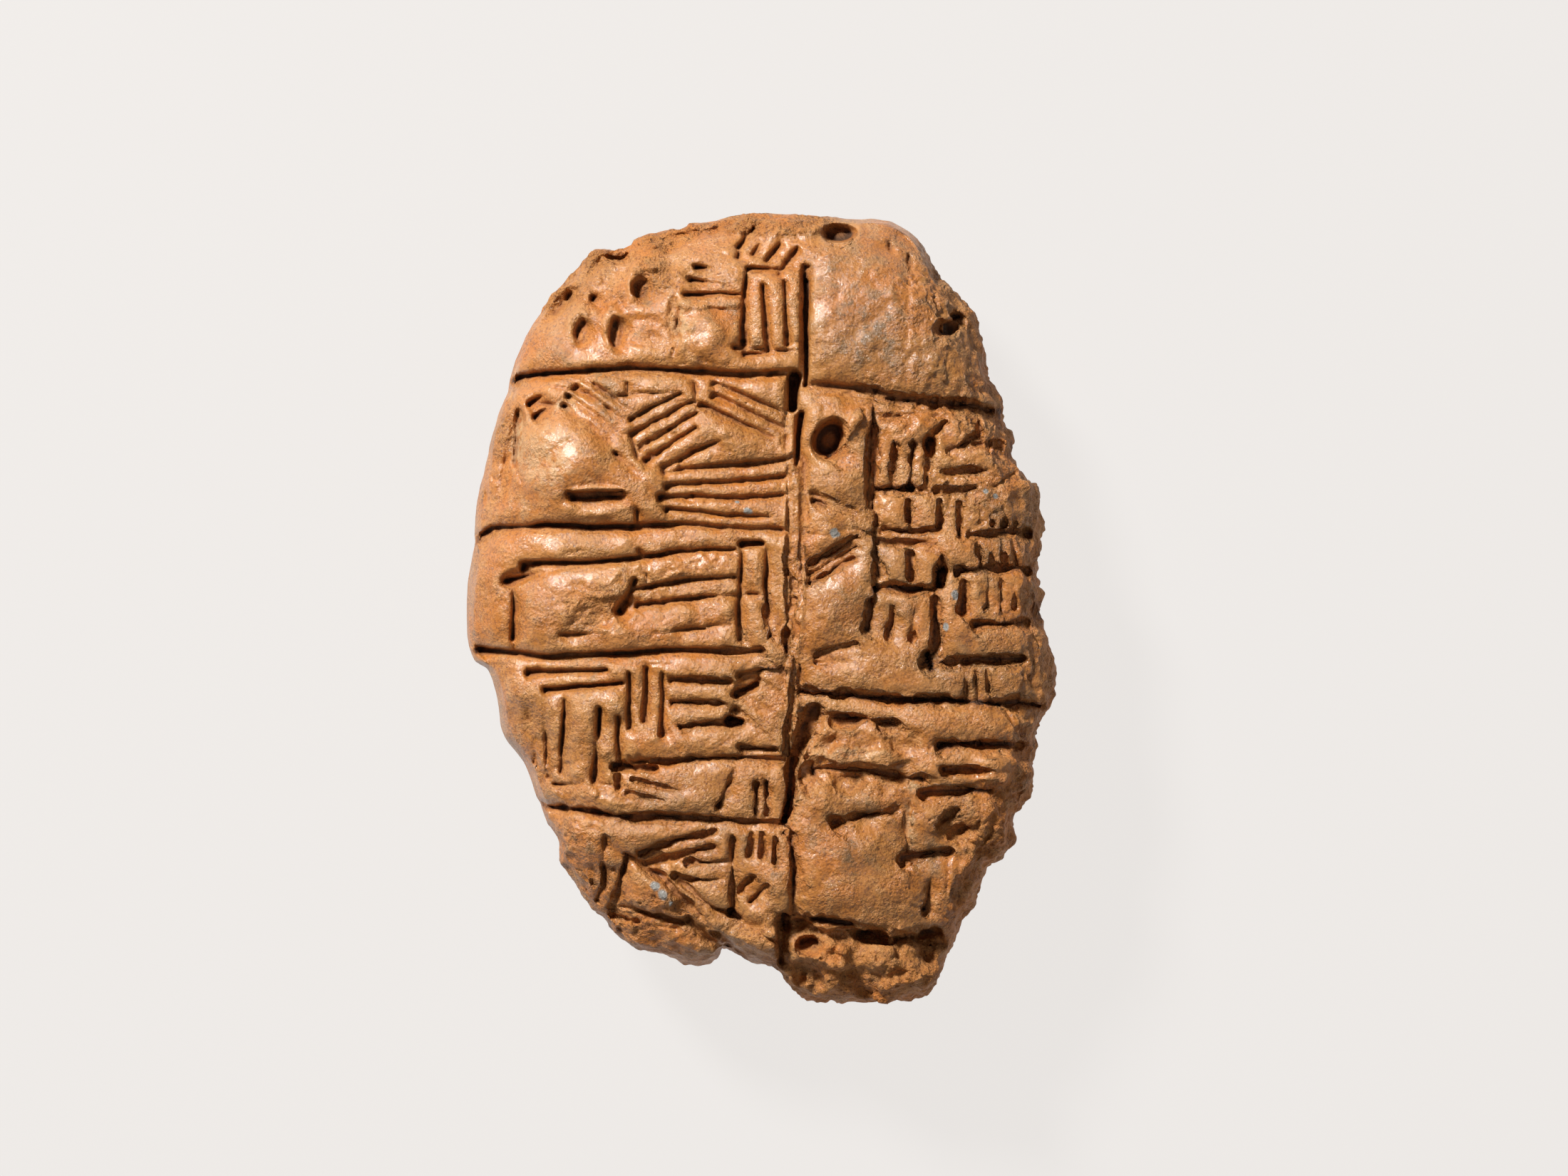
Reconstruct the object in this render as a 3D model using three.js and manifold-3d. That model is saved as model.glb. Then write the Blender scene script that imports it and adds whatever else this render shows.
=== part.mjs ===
// A clay tablet with a ruled and written face, broken along its right side and its foot.
// Millimetres. +Z comes out of the written face, +Y is the tablet's top, +X its right.
// It lies on its back, on a small flat spot in the middle of it.
import * as THREE from "three";
import { mergeVertices } from "three/addons/utils/BufferGeometryUtils.js";
import Module from "manifold-3d";

const wasm = await Module();
wasm.setup();

// ---------------------------------------------------------------- driving sizes
const FRONT_HEIGHT = 9.6; // from the widest line round the edge up to the middle of the face
const FACE_CROWN = 1.3; // how much of that is the slow crown of the whole face
const BACK_HEIGHT = 9.0; // from the widest line down to the flat spot
const FLAT_SPOT = 0.52; // share of the back's width that is ground flat
const NICK_DEPTH = 0.14; // share of the way in from the edge that its nicks reach
const EDGE_STEP = 2.1; // longest facet round the outline
const CLEARANCE = 0.7; // how far a groove's cutter stands above the clay
const GROOVE_FOLLOWS = 0.2; // how closely a groove's path keeps to the face

// The outline seen from above, clockwise from the top left corner.
const TOP_EDGE = [
  [-13.5, 30.9], [-12.2, 30.8], [-10.5, 31.6], [-8, 32.6], [-7, 32.5], [-6, 33], [-4.4, 32.9],
  [-2.5, 33.65], [0.5, 33.95], [3, 33.75], [8, 33.5], [11.2, 33.4],
];
const RIGHT_BREAK = [
  [12.8, 32.4], [14, 31.3], [14.9, 29.6], [15.4, 28.5], [16.5, 27.7], [17.3, 26.6], [18.4, 25.2],
  [18.7, 23.4], [19.2, 22], [19.7, 20.4], [19.8, 19.2], [20.8, 17.5], [20.7, 16.1], [21.8, 14.5],
  [21.7, 12.9], [22.7, 11.8], [23, 11.1], [24, 10.7], [24.4, 9.4], [24, 6.5], [24, 2.5],
  [24.2, 1], [23.85, -0.5], [24.5, -2.4], [25.4, -5], [24.9, -8.4], [23.8, -10.3],
];
const FOOT_BREAK = [
  [23.4, -12.9], [23.75, -14.5], [23.5, -16], [22, -18.3], [21.9, -20.3], [20.8, -21.7],
  [19.5, -22.3], [18.8, -24], [17.3, -26.8], [16.7, -28.9], [15.8, -30.5], [15.5, -31.7],
  [14.8, -32.8], [13.4, -33.6], [11, -33.8], [8.5, -34], [4, -33.6], [2.8, -33.1], [2, -32],
  [1.5, -31], [-1, -30.5], [-2.8, -29.4], [-3.2, -29.1], [-3.6, -30.4],
];
const LEFT_EDGE = [
  [-5.2, -31], [-8, -30], [-11, -29.3], [-12.6, -28.1], [-13.2, -26.9], [-14.4, -26],
  [-16.2, -23.3], [-17.3, -22], [-17.3, -20.6], [-19.2, -16.5], [-20.4, -13.3], [-22, -11.2],
  [-22.5, -9], [-23, -6.5], [-23.5, -5.2], [-24.6, -4.7], [-25.2, -2.5], [-25.2, 0.5],
  [-24.8, 4.5], [-24.4, 9], [-23.3, 14], [-22.1, 17.8], [-21.6, 18.6], [-21.6, 19.6],
  [-20.4, 23.2], [-18, 26.7], [-15.3, 29.7],
];

// How square the edge of the face is, by direction in degrees from +X: 5 is a pebble's round
// edge, where the first edge survives, and 15 is the nearly square edge of a break.
const EDGE_POWERS = [
  [-180, 5.4], [-150, 6.5], [-120, 8.5], [-94, 9], [-86, 15], [62, 15], [74, 9], [96, 8],
  [120, 6.2], [150, 5.4], [180, 5.4],
];

// Swells and hollows of the face: centre, rise, reach.
const SWELLS = [
  [-17, 12.6, 1.0, 3.6], // a smooth bun between the first two rulings
  [-9.4, 23.4, -0.9, 2.8], // a dish in the top left case
  [-17, 22.5, -0.35, 3.5],
  [11, 24, 0.5, 5.5], // the plain block at the top right
  [7.5, -23, 0.55, 4.2], // the plain block at the foot
  [7, -1, 0.4, 4],
  [-14, 0, -0.35, 2.8], // a pocked patch
  [-3.5, 31.5, -1.1, 2.6], // wear along the top edge
  [-10.5, 30.5, -1.2, 2.6],
  [8.2, -11.4, -0.7, 1.9], // two dents under the fourth ruling on the right
  [11.6, -11.2, -0.6, 1.6],
  [20.4, -13.6, 0.5, 1.8],
];

// ---------------------------------------------------------------- the outline as a radius
const clamp = THREE.MathUtils.clamp;
const smoothstep = THREE.MathUtils.smoothstep;
const degrees = THREE.MathUtils.radToDeg;
const radians = THREE.MathUtils.degToRad;

function sampleOutline() {
  const corners = [...TOP_EDGE, ...RIGHT_BREAK, ...FOOT_BREAK, ...LEFT_EDGE];
  const points = corners.map(([x, y]) => new THREE.Vector3(x, y, 0));
  const curve = new THREE.CatmullRomCurve3(points, true, "centripetal");
  const samples = [];
  points.forEach((point, i) => {
    const next = points[(i + 1) % points.length];
    const steps = Math.ceil(point.distanceTo(next) / EDGE_STEP);
    for (let k = 0; k < steps; k += 1) {
      const at = curve.getPoint((i + k / steps) / points.length);
      samples.push({ angle: Math.atan2(at.y, at.x), radius: Math.hypot(at.x, at.y) });
    }
  });
  return samples.sort((a, b) => a.angle - b.angle);
}

const outline = sampleOutline();

function outlineRadius(angle) {
  const turn = 2 * Math.PI;
  const after = outline.findIndex((sample) => sample.angle > angle);
  const b = outline[after < 0 ? 0 : after];
  const a = outline[after <= 0 ? outline.length - 1 : after - 1];
  const span = (b.angle - a.angle + turn) % turn;
  const part = (angle - a.angle + turn) % turn;
  return THREE.MathUtils.lerp(a.radius, b.radius, span > 0 ? part / span : 0);
}

// The outline with its nicks evened out, which the middle of the face follows.
function evenRadius(angle) {
  const reach = radians(16);
  const count = 9;
  let sum = 0;
  for (let k = 0; k < count; k += 1) {
    const turned = angle + reach * ((2 * k) / (count - 1) - 1);
    sum += outlineRadius(Math.atan2(Math.sin(turned), Math.cos(turned)));
  }
  return sum / count;
}

// The edge as the line at a share of the way out to it sees it: nicked near the edge, even inside.
function reachAt(angle, share) {
  const even = evenRadius(angle);
  return even + (outlineRadius(angle) - even) * smoothstep(share, 1 - NICK_DEPTH, 1);
}

// ---------------------------------------------------------------- the form of the face
function edgePower(angle) {
  const turned = degrees(angle);
  const after = Math.max(1, EDGE_POWERS.findIndex(([at]) => at >= turned));
  const [a, low] = EDGE_POWERS[after - 1];
  const [b, high] = EDGE_POWERS[after];
  return THREE.MathUtils.mapLinear(turned, a, b, low, high);
}

function formHeight(angle, share) {
  const rounded = Math.sqrt(Math.max(0, 1 - share ** edgePower(angle)));
  return (FRONT_HEIGHT - FACE_CROWN) * rounded + FACE_CROWN * (1 - share * share);
}

function swell(x, y) {
  const slow = 0.16 * Math.sin(0.31 * x + 0.8) * Math.cos(0.27 * y - 0.4);
  return SWELLS.reduce((sum, [cx, cy, rise, reach]) => {
    const away = Math.hypot(x - cx, y - cy) / reach;
    return sum + rise * Math.exp(-away * away);
  }, slow);
}

function faceHeight(x, y) {
  const angle = Math.atan2(y, x);
  const radius = Math.hypot(x, y);
  let share = radius / evenRadius(angle);
  for (let k = 0; k < 6; k += 1) {
    share = clamp(radius / reachAt(angle, share), 0, 1);
  }
  return formHeight(angle, share) + swell(x, y) * (1 - share ** 8);
}

// ---------------------------------------------------------------- closed meshes
function solidFrom(positions, faces) {
  const a = new THREE.Vector3();
  const b = new THREE.Vector3();
  const c = new THREE.Vector3();
  let volume = 0;
  for (let k = 0; k < faces.length; k += 3) {
    a.fromArray(positions, 3 * faces[k]);
    b.fromArray(positions, 3 * faces[k + 1]);
    c.fromArray(positions, 3 * faces[k + 2]);
    volume += a.dot(b.cross(c));
  }
  const triVerts = Uint32Array.from(volume < 0 ? [...faces].reverse() : faces);
  const vertProperties = Float32Array.from(positions);
  return new wasm.Manifold(new wasm.Mesh({ numProp: 3, vertProperties, triVerts }));
}

function solidOf(geometry) {
  geometry.deleteAttribute("normal");
  geometry.deleteAttribute("uv");
  const merged = mergeVertices(geometry, 1e-4);
  return solidFrom([...merged.attributes.position.array], [...merged.index.array]);
}

// Joins two closed rings of vertices, each sorted by angle, with a band of triangles.
function stitch(faces, outer, inner, flipped) {
  let i = 0;
  let j = 0;
  while (i < outer.length || j < inner.length) {
    const o = outer[i % outer.length];
    const n = inner[j % inner.length];
    const outerIsBehind = (i + 1) * inner.length <= (j + 1) * outer.length;
    const stepOuter = j >= inner.length || (i < outer.length && outerIsBehind);
    const third = stepOuter ? outer[(i + 1) % outer.length] : inner[(j + 1) % inner.length];
    faces.push(...(flipped ? [o, n, third] : [o, third, n]));
    i += stepOuter ? 1 : 0;
    j += stepOuter ? 0 : 1;
  }
}

// ---------------------------------------------------------------- the body
function tabletBody() {
  const positions = [];
  const faces = [];

  function ring(share, count, heightAt) {
    const even = (k) => -Math.PI + ((k + 0.5) * 2 * Math.PI) / count;
    const angles = count ? Array.from({ length: count }, (_, k) => even(k)) : outline.map((s) => s.angle);
    return angles.map((angle) => {
      const radius = share * reachAt(angle, share);
      const x = radius * Math.cos(angle);
      const y = radius * Math.sin(angle);
      positions.push(x, y, heightAt(angle, x, y));
      return positions.length / 3 - 1;
    });
  }
  function centre(height) {
    positions.push(0, 0, height);
    return [positions.length / 3 - 1];
  }

  const rim = ring(1, 0, () => 0);
  const onFace = (share) => (angle, x, y) => formHeight(angle, share) + swell(x, y) * (1 - share ** 8);
  const front = [[0.985, 0], [0.95, 0], [0.89, 70], [0.8, 52], [0.68, 40], [0.53, 28], [0.36, 16]];
  let outer = rim;
  front.forEach(([share, count]) => {
    const inner = ring(share, count, onFace(share));
    stitch(faces, outer, inner, false);
    outer = inner;
  });
  stitch(faces, outer, centre(faceHeight(0, 0)), false);

  const backDepth = (share) => {
    const rounded = Math.sqrt(Math.max(0, 1 - share ** 4));
    const flat = Math.sqrt(1 - FLAT_SPOT ** 4);
    return () => -BACK_HEIGHT * Math.min(1, rounded / flat);
  };
  const back = [[0.97, 80], [0.9, 60], [0.78, 44], [FLAT_SPOT, 30]];
  outer = rim;
  back.forEach(([share, count]) => {
    const inner = ring(share, count, backDepth(share));
    stitch(faces, outer, inner, true);
    outer = inner;
  });
  stitch(faces, outer, centre(-BACK_HEIGHT), true);
  return solidFrom(positions, faces);
}

// ---------------------------------------------------------------- what cuts the clay
// Halves each stretch of a path until it keeps to the curve of the face.
function laidOnFace(path) {
  const laid = [path[0]];
  const add = (from, to, depth) => {
    const middle = [(from[0] + to[0]) / 2, (from[1] + to[1]) / 2];
    const straight = (faceHeight(...from) + faceHeight(...to)) / 2;
    if (depth > 0 && Math.abs(faceHeight(...middle) - straight) > GROOVE_FOLLOWS) {
      add(from, middle, depth - 1);
      add(middle, to, depth - 1);
    } else {
      laid.push(to);
    }
  };
  path.slice(1).forEach((to, i) => add(path[i], to, 4));
  return laid;
}

// A groove along a path. Its deepest line leans towards the upper left wall, which is steep,
// and each end has its own share of the width and depth.
function groove(route, width, depth, { head = 1, tail = 0.55, lean = 0.25 } = {}) {
  const positions = [];
  const faces = [];
  const path = laidOnFace(route);
  const last = path.length - 1;
  path.forEach(([x, y], i) => {
    const [ax, ay] = path[Math.max(0, i - 1)];
    const [bx, by] = path[Math.min(last, i + 1)];
    const long = Math.hypot(bx - ax, by - ay);
    const across = [-(by - ay) / long, (bx - ax) / long];
    const facing = across[1] - across[0] >= 0 ? 1 : -1;
    const size = THREE.MathUtils.lerp(head, tail, i / last);
    const deep = depth * size;
    const half = (width * size) / 2;
    const widened = 1 + CLEARANCE / deep;
    const bottom = lean * facing;
    const section = [[bottom + (1 - bottom) * widened, CLEARANCE], [bottom, -deep],
      [bottom - (1 + bottom) * widened, CLEARANCE]];
    section.forEach(([side, rise]) => {
      positions.push(x + across[0] * half * side, y + across[1] * half * side, faceHeight(x, y) + rise);
    });
  });
  const corners = 3;
  for (let i = 0; i < last; i += 1) {
    for (let k = 0; k < corners; k += 1) {
      const a = i * corners + k;
      const b = i * corners + ((k + 1) % corners);
      faces.push(a, b, b + corners, a, b + corners, a + corners);
    }
  }
  const end = last * corners;
  faces.push(0, 2, 1, end, end + 1, end + 2);
  return solidFrom(positions, faces);
}

// A block whose underside is a grid of points, which leaves a broken surface behind.
function breakBlock(grid) {
  const rows = grid.length;
  const columns = grid[0].length;
  const lid = FRONT_HEIGHT + 4;
  const positions = [];
  const faces = [];
  grid.forEach((row) => row.forEach(([x, y, z]) => positions.push(x, y, z)));
  grid.forEach((row) => row.forEach(([x, y]) => positions.push(x, y, lid)));
  const under = (i, j) => i * columns + j;
  const over = (i, j) => rows * columns + under(i, j);
  const wall = (a, b, c, d) => faces.push(a, b, c, a, c, d);
  for (let i = 0; i + 1 < rows; i += 1) {
    for (let j = 0; j + 1 < columns; j += 1) {
      wall(under(i, j), under(i, j + 1), under(i + 1, j + 1), under(i + 1, j));
      wall(over(i, j), over(i + 1, j), over(i + 1, j + 1), over(i, j + 1));
    }
    wall(under(i, 0), under(i + 1, 0), over(i + 1, 0), over(i, 0));
    const end = columns - 1;
    wall(under(i + 1, end), under(i, end), over(i, end), over(i + 1, end));
  }
  for (let j = 0; j + 1 < columns; j += 1) {
    wall(under(0, j + 1), under(0, j), over(0, j), over(0, j + 1));
    const end = rows - 1;
    wall(under(end, j), under(end, j + 1), over(end, j + 1), over(end, j));
  }
  return solidFrom(positions, faces);
}

// The round end of a stylus pushed in at a slant.
function roundPit([x, y], across, along, depth, slant) {
  const profile = [[0, -1], [0.62, -0.93], [0.9, -0.66], [1, 0], [1, 1], [0, 1]];
  const pit = new THREE.LatheGeometry(profile.map(([r, z]) => new THREE.Vector2(r, z)), 12);
  pit.rotateX(Math.PI / 2);
  pit.scale(across / 2, along / 2, depth);
  pit.rotateX(radians(slant[0]));
  pit.rotateY(radians(slant[1]));
  pit.translate(x, y, faceHeight(x, y));
  return solidOf(pit);
}

function dent([x, y], across, along, depth, turn) {
  const bowl = new THREE.SphereGeometry(1, 9, 5);
  bowl.rotateX(Math.PI / 2);
  bowl.scale(across / 2, along / 2, depth);
  bowl.rotateZ(radians(turn));
  bowl.translate(x, y, faceHeight(x, y) + 0.05);
  return solidOf(bowl);
}

let drawn = 20;
function unevenness() {
  drawn = (drawn * 16807) % 2147483647;
  return (drawn / 2147483647) * 2 - 1;
}

// A run of parallel strokes: middle, direction, length, how many, and their pitch.
// No two are quite alike, and none of them is a sign.
function run(x, y, turn, long, count = 1, pitch = 1, width = 0.8, depth = 0.75) {
  const along = [Math.cos(radians(turn)), Math.sin(radians(turn))];
  const strokes = [];
  for (let k = 0; k < count; k += 1) {
    const aside = (k - (count - 1) / 2) * pitch;
    const slip = 0.12 * long * unevenness();
    const bend = radians(3 * unevenness());
    const [ux, uy] = [Math.cos(radians(turn) + bend), Math.sin(radians(turn) + bend)];
    const middle = [x - along[1] * aside + along[0] * slip, y + along[0] * aside + along[1] * slip];
    const half = (long / 2) * (1 + 0.1 * unevenness());
    const path = [-half, half].map((way) => [middle[0] + ux * way, middle[1] + uy * way]);
    const deep = depth * (1 + 0.2 * unevenness());
    strokes.push(groove(path, width * (1 + 0.15 * unevenness()), deep));
  }
  return strokes;
}

// ---------------------------------------------------------------- rulings between the cases
const RULINGS = [
  // the divider between the two columns, from the top down
  { path: [[4.2, 29], [3.9, 25], [3.7, 22], [3.6, 18.5]], width: 1.0, depth: 1.1, tail: 1 },
  { path: [[2.7, 19.2], [2.7, 16.6]], width: 1.5, depth: 1.9, tail: 0.9 },
  { path: [[3.3, 16.4], [3.1, 13], [2.9, 12]], width: 0.7, depth: 0.8, tail: 1 },
  { path: [[3, 12.4], [3, 6], [3, 2], [2.8, -2], [2.6, -6]], width: 2.0, depth: 0.85, tail: 0.8 },
  { path: [[2.7, -1.5], [2.8, -5], [2.7, -12.5]], width: 1.3, depth: 1.2, tail: 1 },
  { path: [[3.1, -12], [2.6, -16], [2.1, -19]], width: 1.3, depth: 1.5, tail: 0.5 },
  { path: [[2.7, -18.6], [2.9, -22], [2.9, -26.4]], width: 0.8, depth: 0.5, tail: 1 },
  // across the left column
  { path: [[-23, 18.9], [-16, 19.9], [-12, 20.1], [-6, 19.8], [3, 19.5]], width: 1.2, depth: 1, tail: 0.9 },
  { path: [[-26, 5], [-23, 6.8], [-20, 6.9], [-6, 6.8], [2.6, 6.4]], width: 1.3, depth: 1.2, tail: 0.6 },
  { path: [[-24, -3.9], [-18, -4.2], [-13, -4], [-5, -3.8], [0, -3.7]], width: 1.1, depth: 1, tail: 0.7 },
  { path: [[-20, -17], [-14.5, -17.2], [-12, -17.7], [2, -18.2]], width: 1.1, depth: 1, tail: 0.8 },
  // across the right column
  { path: [[3.4, 18.6], [9, 18], [12, 17.2], [15, 17], [22, 16.3]], width: 1.4, depth: 1.3, tail: 0.8 },
  { path: [[2.8, -6.8], [5, -7.2], [12, -7.7], [16, -8], [24.5, -8.4]], width: 1.1, depth: 1.3, tail: 0.9 },
  { path: [[2.8, -25.9], [4.5, -26.2], [8, -26.8]], width: 0.9, depth: 0.9, tail: 1 },
];

// Cracks through the lower left corner, narrow and deep.
const CRACKS = [
  { path: [[-10.9, -20.9], [-9.4, -22.3], [-8.2, -22.9], [-6.4, -24.9], [-5, -26.2]], width: 0.8 },
  { path: [[-11.1, -20.6], [-11.6, -23.4], [-12.4, -25.4]], width: 1.0 },
  { path: [[-7.4, -22.6], [-5.6, -24.2], [-3.9, -25.6], [-2.6, -25.8]], width: 0.5 },
  { path: [[-12.4, -25.2], [-9.6, -25.9], [-6.4, -26.9]], width: 0.6 },
  { path: [[-2.4, -25.7], [-1, -27], [0.6, -28], [2.4, -28.7]], width: 0.9 },
  { path: [[-6.3, -26.4], [-4.9, -28.1], [-3.3, -29.3]], width: 0.7 },
];
const CRACK_DEPTH = 1.1;

// ---------------------------------------------------------------- rows of strokes, case by case
function writtenRows() {
  const topLeft = [
    run(0.6, 25.1, 90, 5.8, 3, 1.75, 0.9, 0.9),
    run(0.9, 30.7, 58, 2.9, 4, 1.45, 0.9, 0.8),
    run(-4.0, 27.2, -7, 3.9, 3, 1.3, 0.8, 0.6),
    run(1.2, 21.6, 0, 4.2, 1, 1, 0.8, 0.7),
    run(1.4, 28.6, 2, 4.6, 1, 1, 0.8, 0.8),
  ];
  const secondLeft = [
    run(-13.4, 16.4, -38, 6.0, 4, 1.0),
    run(-7.6, 15.5, 31, 5.8, 4, 1.15, 0.85, 0.9),
    run(-1.3, 16.6, -25, 6.6, 3, 1.1),
    run(-3.2, 10.5, 4, 11.2, 3, 1.3, 0.9, 0.8),
    run(-4.2, 7.9, -3, 8.4),
    run(-13.6, 9.4, 2, 4.8, 1, 1, 0.9, 0.8),
    run(-18.4, 16.9, 35, 2.2, 2, 1.2),
    run(-5.2, 12.9, 22, 5.6, 1, 1, 0.9, 0.8),
  ];
  const thirdLeft = [
    run(-10.4, 4.2, 6, 18.5, 1, 1, 1.0, 1.1),
    run(-5.6, 1.3, 8, 9.8, 2, 1.5, 0.85, 0.8),
    run(-0.4, 0.9, 90, 8.2, 2, 2.2, 0.75, 0.8),
    run(-20.7, -0.8, 86, 4, 1, 1, 0.8, 0.6),
    run(-11.0, 1.3, 64, 3.2, 1, 1, 1.0, 0.9),
    run(-18.6, 3.8, 4, 3.6, 1, 1, 0.8, 0.5),
    run(-6.6, -2.0, 8, 5.4, 1, 1, 0.7, 0.35),
  ];
  const fourthLeft = [
    run(-18.0, -11.2, 90, 6.6, 3, 1.5, 0.8, 0.65),
    run(-15.6, -6.0, 5, 7.4, 2, 1.4, 0.85, 0.9),
    run(-12.8, -11.4, 90, 5.8, 2, 1.7, 0.9, 1.0),
    run(-9.6, -7.6, 88, 4.8, 3, 1.4, 0.85, 0.9),
    run(-4.9, -8.1, 3, 5.2, 3, 1.9, 0.9, 0.9),
    run(-5.8, -12.9, 3, 13.2, 1, 1, 1.0, 1.2),
    run(0.1, -8.4, -34, 4.8, 3, 1.6, 0.8, 0.8),
    run(0.2, -16.2, 90, 2.7, 2, 1.0),
    run(-2.7, -15.1, 68, 3.6, 1, 1, 1.1, 1.0),
    run(-8.6, -15.5, -14, 4.6, 2, 1.2, 0.7, 0.45),
    run(-0.4, -12.0, 4, 3.4, 1, 1, 0.9, 0.9),
    run(-14.6, -14.9, 3, 4.8, 1, 1, 0.8, 0.6),
    run(-0.6, -5.4, 14, 3.6, 1, 1, 0.9, 0.8),
  ];
  const footLeft = [
    run(-14.0, -21.5, 88, 4.7, 3, 1.05, 0.75, 0.8),
    run(-12.0, -23.0, 62, 4.4, 2, 1.3, 0.9, 0.9),
    run(-6.4, -20.2, 18, 6.2, 2, 1.2, 0.8, 0.9),
    run(-2.2, -22.2, 90, 6.4, 1, 1, 0.8, 0.8),
    run(0.3, -19.9, 88, 2.4, 3, 1.0, 0.65, 0.6),
    run(-0.5, -23.6, 52, 2.6, 2, 1.3, 0.7, 0.7),
    run(-9.6, -27.6, -12, 5.4, 2, 1.3, 0.8, 0.6),
    run(-4.6, -22.2, 2, 4.0, 2, 1.5, 0.85, 0.8),
  ];
  const topRight = [
    run(10.9, 31.8, 92, 3.0, 1, 1, 0.7, 0.5),
    run(12.4, 30.3, 91, 4.4, 1, 1, 0.7, 0.7),
    run(5.4, 22, 0, 1.4, 1, 1, 0.6, 0.3),
  ];
  const secondRight = [
    run(9.6, 12.8, 90, 7.6, 1, 1, 1.0, 1.1),
    run(12.7, 12.3, 88, 3.6, 3, 1.5, 0.85, 0.9),
    run(13.6, 10.0, 0, 8.6, 1, 1, 1.0, 1.1),
    run(12.6, 8.2, 90, 2.6, 3, 2.6, 0.9, 0.9),
    run(12.6, 6.1, 1, 5.2, 2, 1.1, 0.75, 0.75),
    run(12.6, 3.4, 90, 2.8, 3, 2.6, 0.9, 0.9),
    run(11.7, 1.4, 2, 5.2, 1, 1, 1.1, 1.3),
    run(16.9, 7.4, 90, 3.4, 1, 1, 0.9, 1.0),
    run(20.2, 7.9, 89, 1.9, 4, 1.05, 0.65, 0.7),
    run(20.0, 4.7, 91, 2.5, 4, 1.05, 0.65, 0.7),
    run(20.3, 6.3, 1, 5.2, 1, 1, 0.75, 0.8),
    run(19.2, 3.1, 3, 7.6, 1, 1, 0.9, 1.1),
    run(20.3, 1.0, 90, 3.0, 3, 1.15, 0.7, 0.7),
    run(17.3, 1.2, 88, 3.0, 1, 1, 1.1, 1.2),
    run(14.8, -0.4, 90, 6.4, 1, 1, 1.0, 1.2),
    run(20.7, -1.4, 1, 4.8, 1, 1, 0.8, 0.9),
    run(18.9, -4.5, 1, 8.4, 1, 1, 0.9, 1.0),
    run(18.2, -6.4, 90, 3.0, 3, 0.9, 0.5, 0.45),
    run(6.8, 8.3, -15, 5.8, 1, 1, 0.8, 0.7),
    run(6.2, 4.0, 28, 4.8, 2, 1.5, 0.85, 0.8),
    run(6.4, -3.5, 20, 4.0, 1, 1, 0.7, 0.6),
    run(6.4, -4.6, 1, 3.6, 1, 1, 0.6, 0.5),
    run(9.3, -0.3, 90, 3.0, 1, 1, 0.9, 1.0),
    run(17.4, 14.0, 30, 3.4, 1, 1, 0.8, 0.6),
    run(18.0, 11.6, 4, 5.0, 1, 1, 0.7, 0.5),
    run(11.9, -1.2, 90, 2.8, 2, 1.8, 0.7, 0.5),
  ];
  const thirdRight = [
    run(7.4, -9.3, -6, 8.8, 1, 1, 1.5, 1.2),
    run(8.5, -13.9, -4, 9.2, 1, 1, 1.4, 1.1),
    run(18.4, -11.6, -3, 7.4, 1, 1, 0.9, 1.1),
    run(16.8, -15.5, 6, 6.2, 1, 1, 0.8, 0.8),
    run(12.3, -18.5, 90, 4.8, 1, 1, 0.8, 0.6),
    run(14.2, -21.0, 7, 4.4, 1, 1, 1.0, 1.3),
    run(8.6, -17.7, 9, 5.4, 1, 1, 0.8, 0.6),
    run(16.8, -18.2, 35, 3.4, 2, 1.5, 0.7, 0.5),
    run(5.2, -11.7, 66, 2.6, 2, 1.4, 0.8, 0.5),
    run(17.4, -13.6, -4, 5.0, 1, 1, 0.7, 0.5),
    run(14.4, -23.6, 80, 3.4, 1, 1, 0.7, 0.5),
  ];
  return [topLeft, secondLeft, thirdLeft, fourthLeft, footLeft, topRight, secondRight, thirdRight];
}

// ---------------------------------------------------------------- breaks
// The chunk at the foot lies lower than the written face, behind a ragged step.
function footStep() {
  const grid = [];
  for (let x = 1.6; x < 19; x += 1.9) {
    const edge = -26.1 - 0.13 * (x - 2) - 0.35 * Math.sin(1.3 * x);
    const level = FRONT_HEIGHT - 4.1 - 0.3 * Math.sin(0.9 * x);
    const fall = [[0.4, 5.2], [-0.5, -0.3], [-2.2, -0.1], [-4, 0.2], [-6, -0.6], [-9.5, -2.6]];
    grid.push(fall.map(([dy, rise]) => [x, edge + dy, level + rise + 0.35 * unevenness()]));
  }
  return breakBlock(grid);
}

// The lower right side falls away as a slope.
function sideSlope() {
  const from = new THREE.Vector2(22.6, -9.5);
  const to = new THREE.Vector2(16.6, -28.5);
  const down = to.clone().sub(from);
  const out = new THREE.Vector2(-down.y, down.x).normalize();
  const grid = [];
  const stations = 10;
  for (let i = 0; i <= stations; i += 1) {
    const at = from.clone().addScaledVector(down, i / stations);
    at.addScaledVector(out, 0.5 * unevenness());
    const face = faceHeight(at.x - 1, at.y + 0.4);
    const fall = [[-0.6, 1.1], [0.4, -0.5], [2, -1.7], [4.2, -2.9], [8, -5.2]];
    grid.push(fall.map(([far, rise]) => [
      at.x + out.x * far,
      at.y + out.y * far,
      face + rise + 0.3 * unevenness(),
    ]));
  }
  return breakBlock(grid);
}

// A lump on the right edge that stands lower than the face beside it.
function edgeLump() {
  const grid = [];
  for (let y = -1; y > -12; y -= 1.6) {
    const inner = 23.5 + 0.25 * Math.sin(1.7 * y);
    const fall = [[-0.2, 9.8], [0.35, 6.6], [1.1, 5.6], [4, 4.2]];
    grid.push(fall.map(([far, z]) => [inner + far, y, z + 0.25 * unevenness()]));
  }
  return breakBlock(grid);
}

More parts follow.
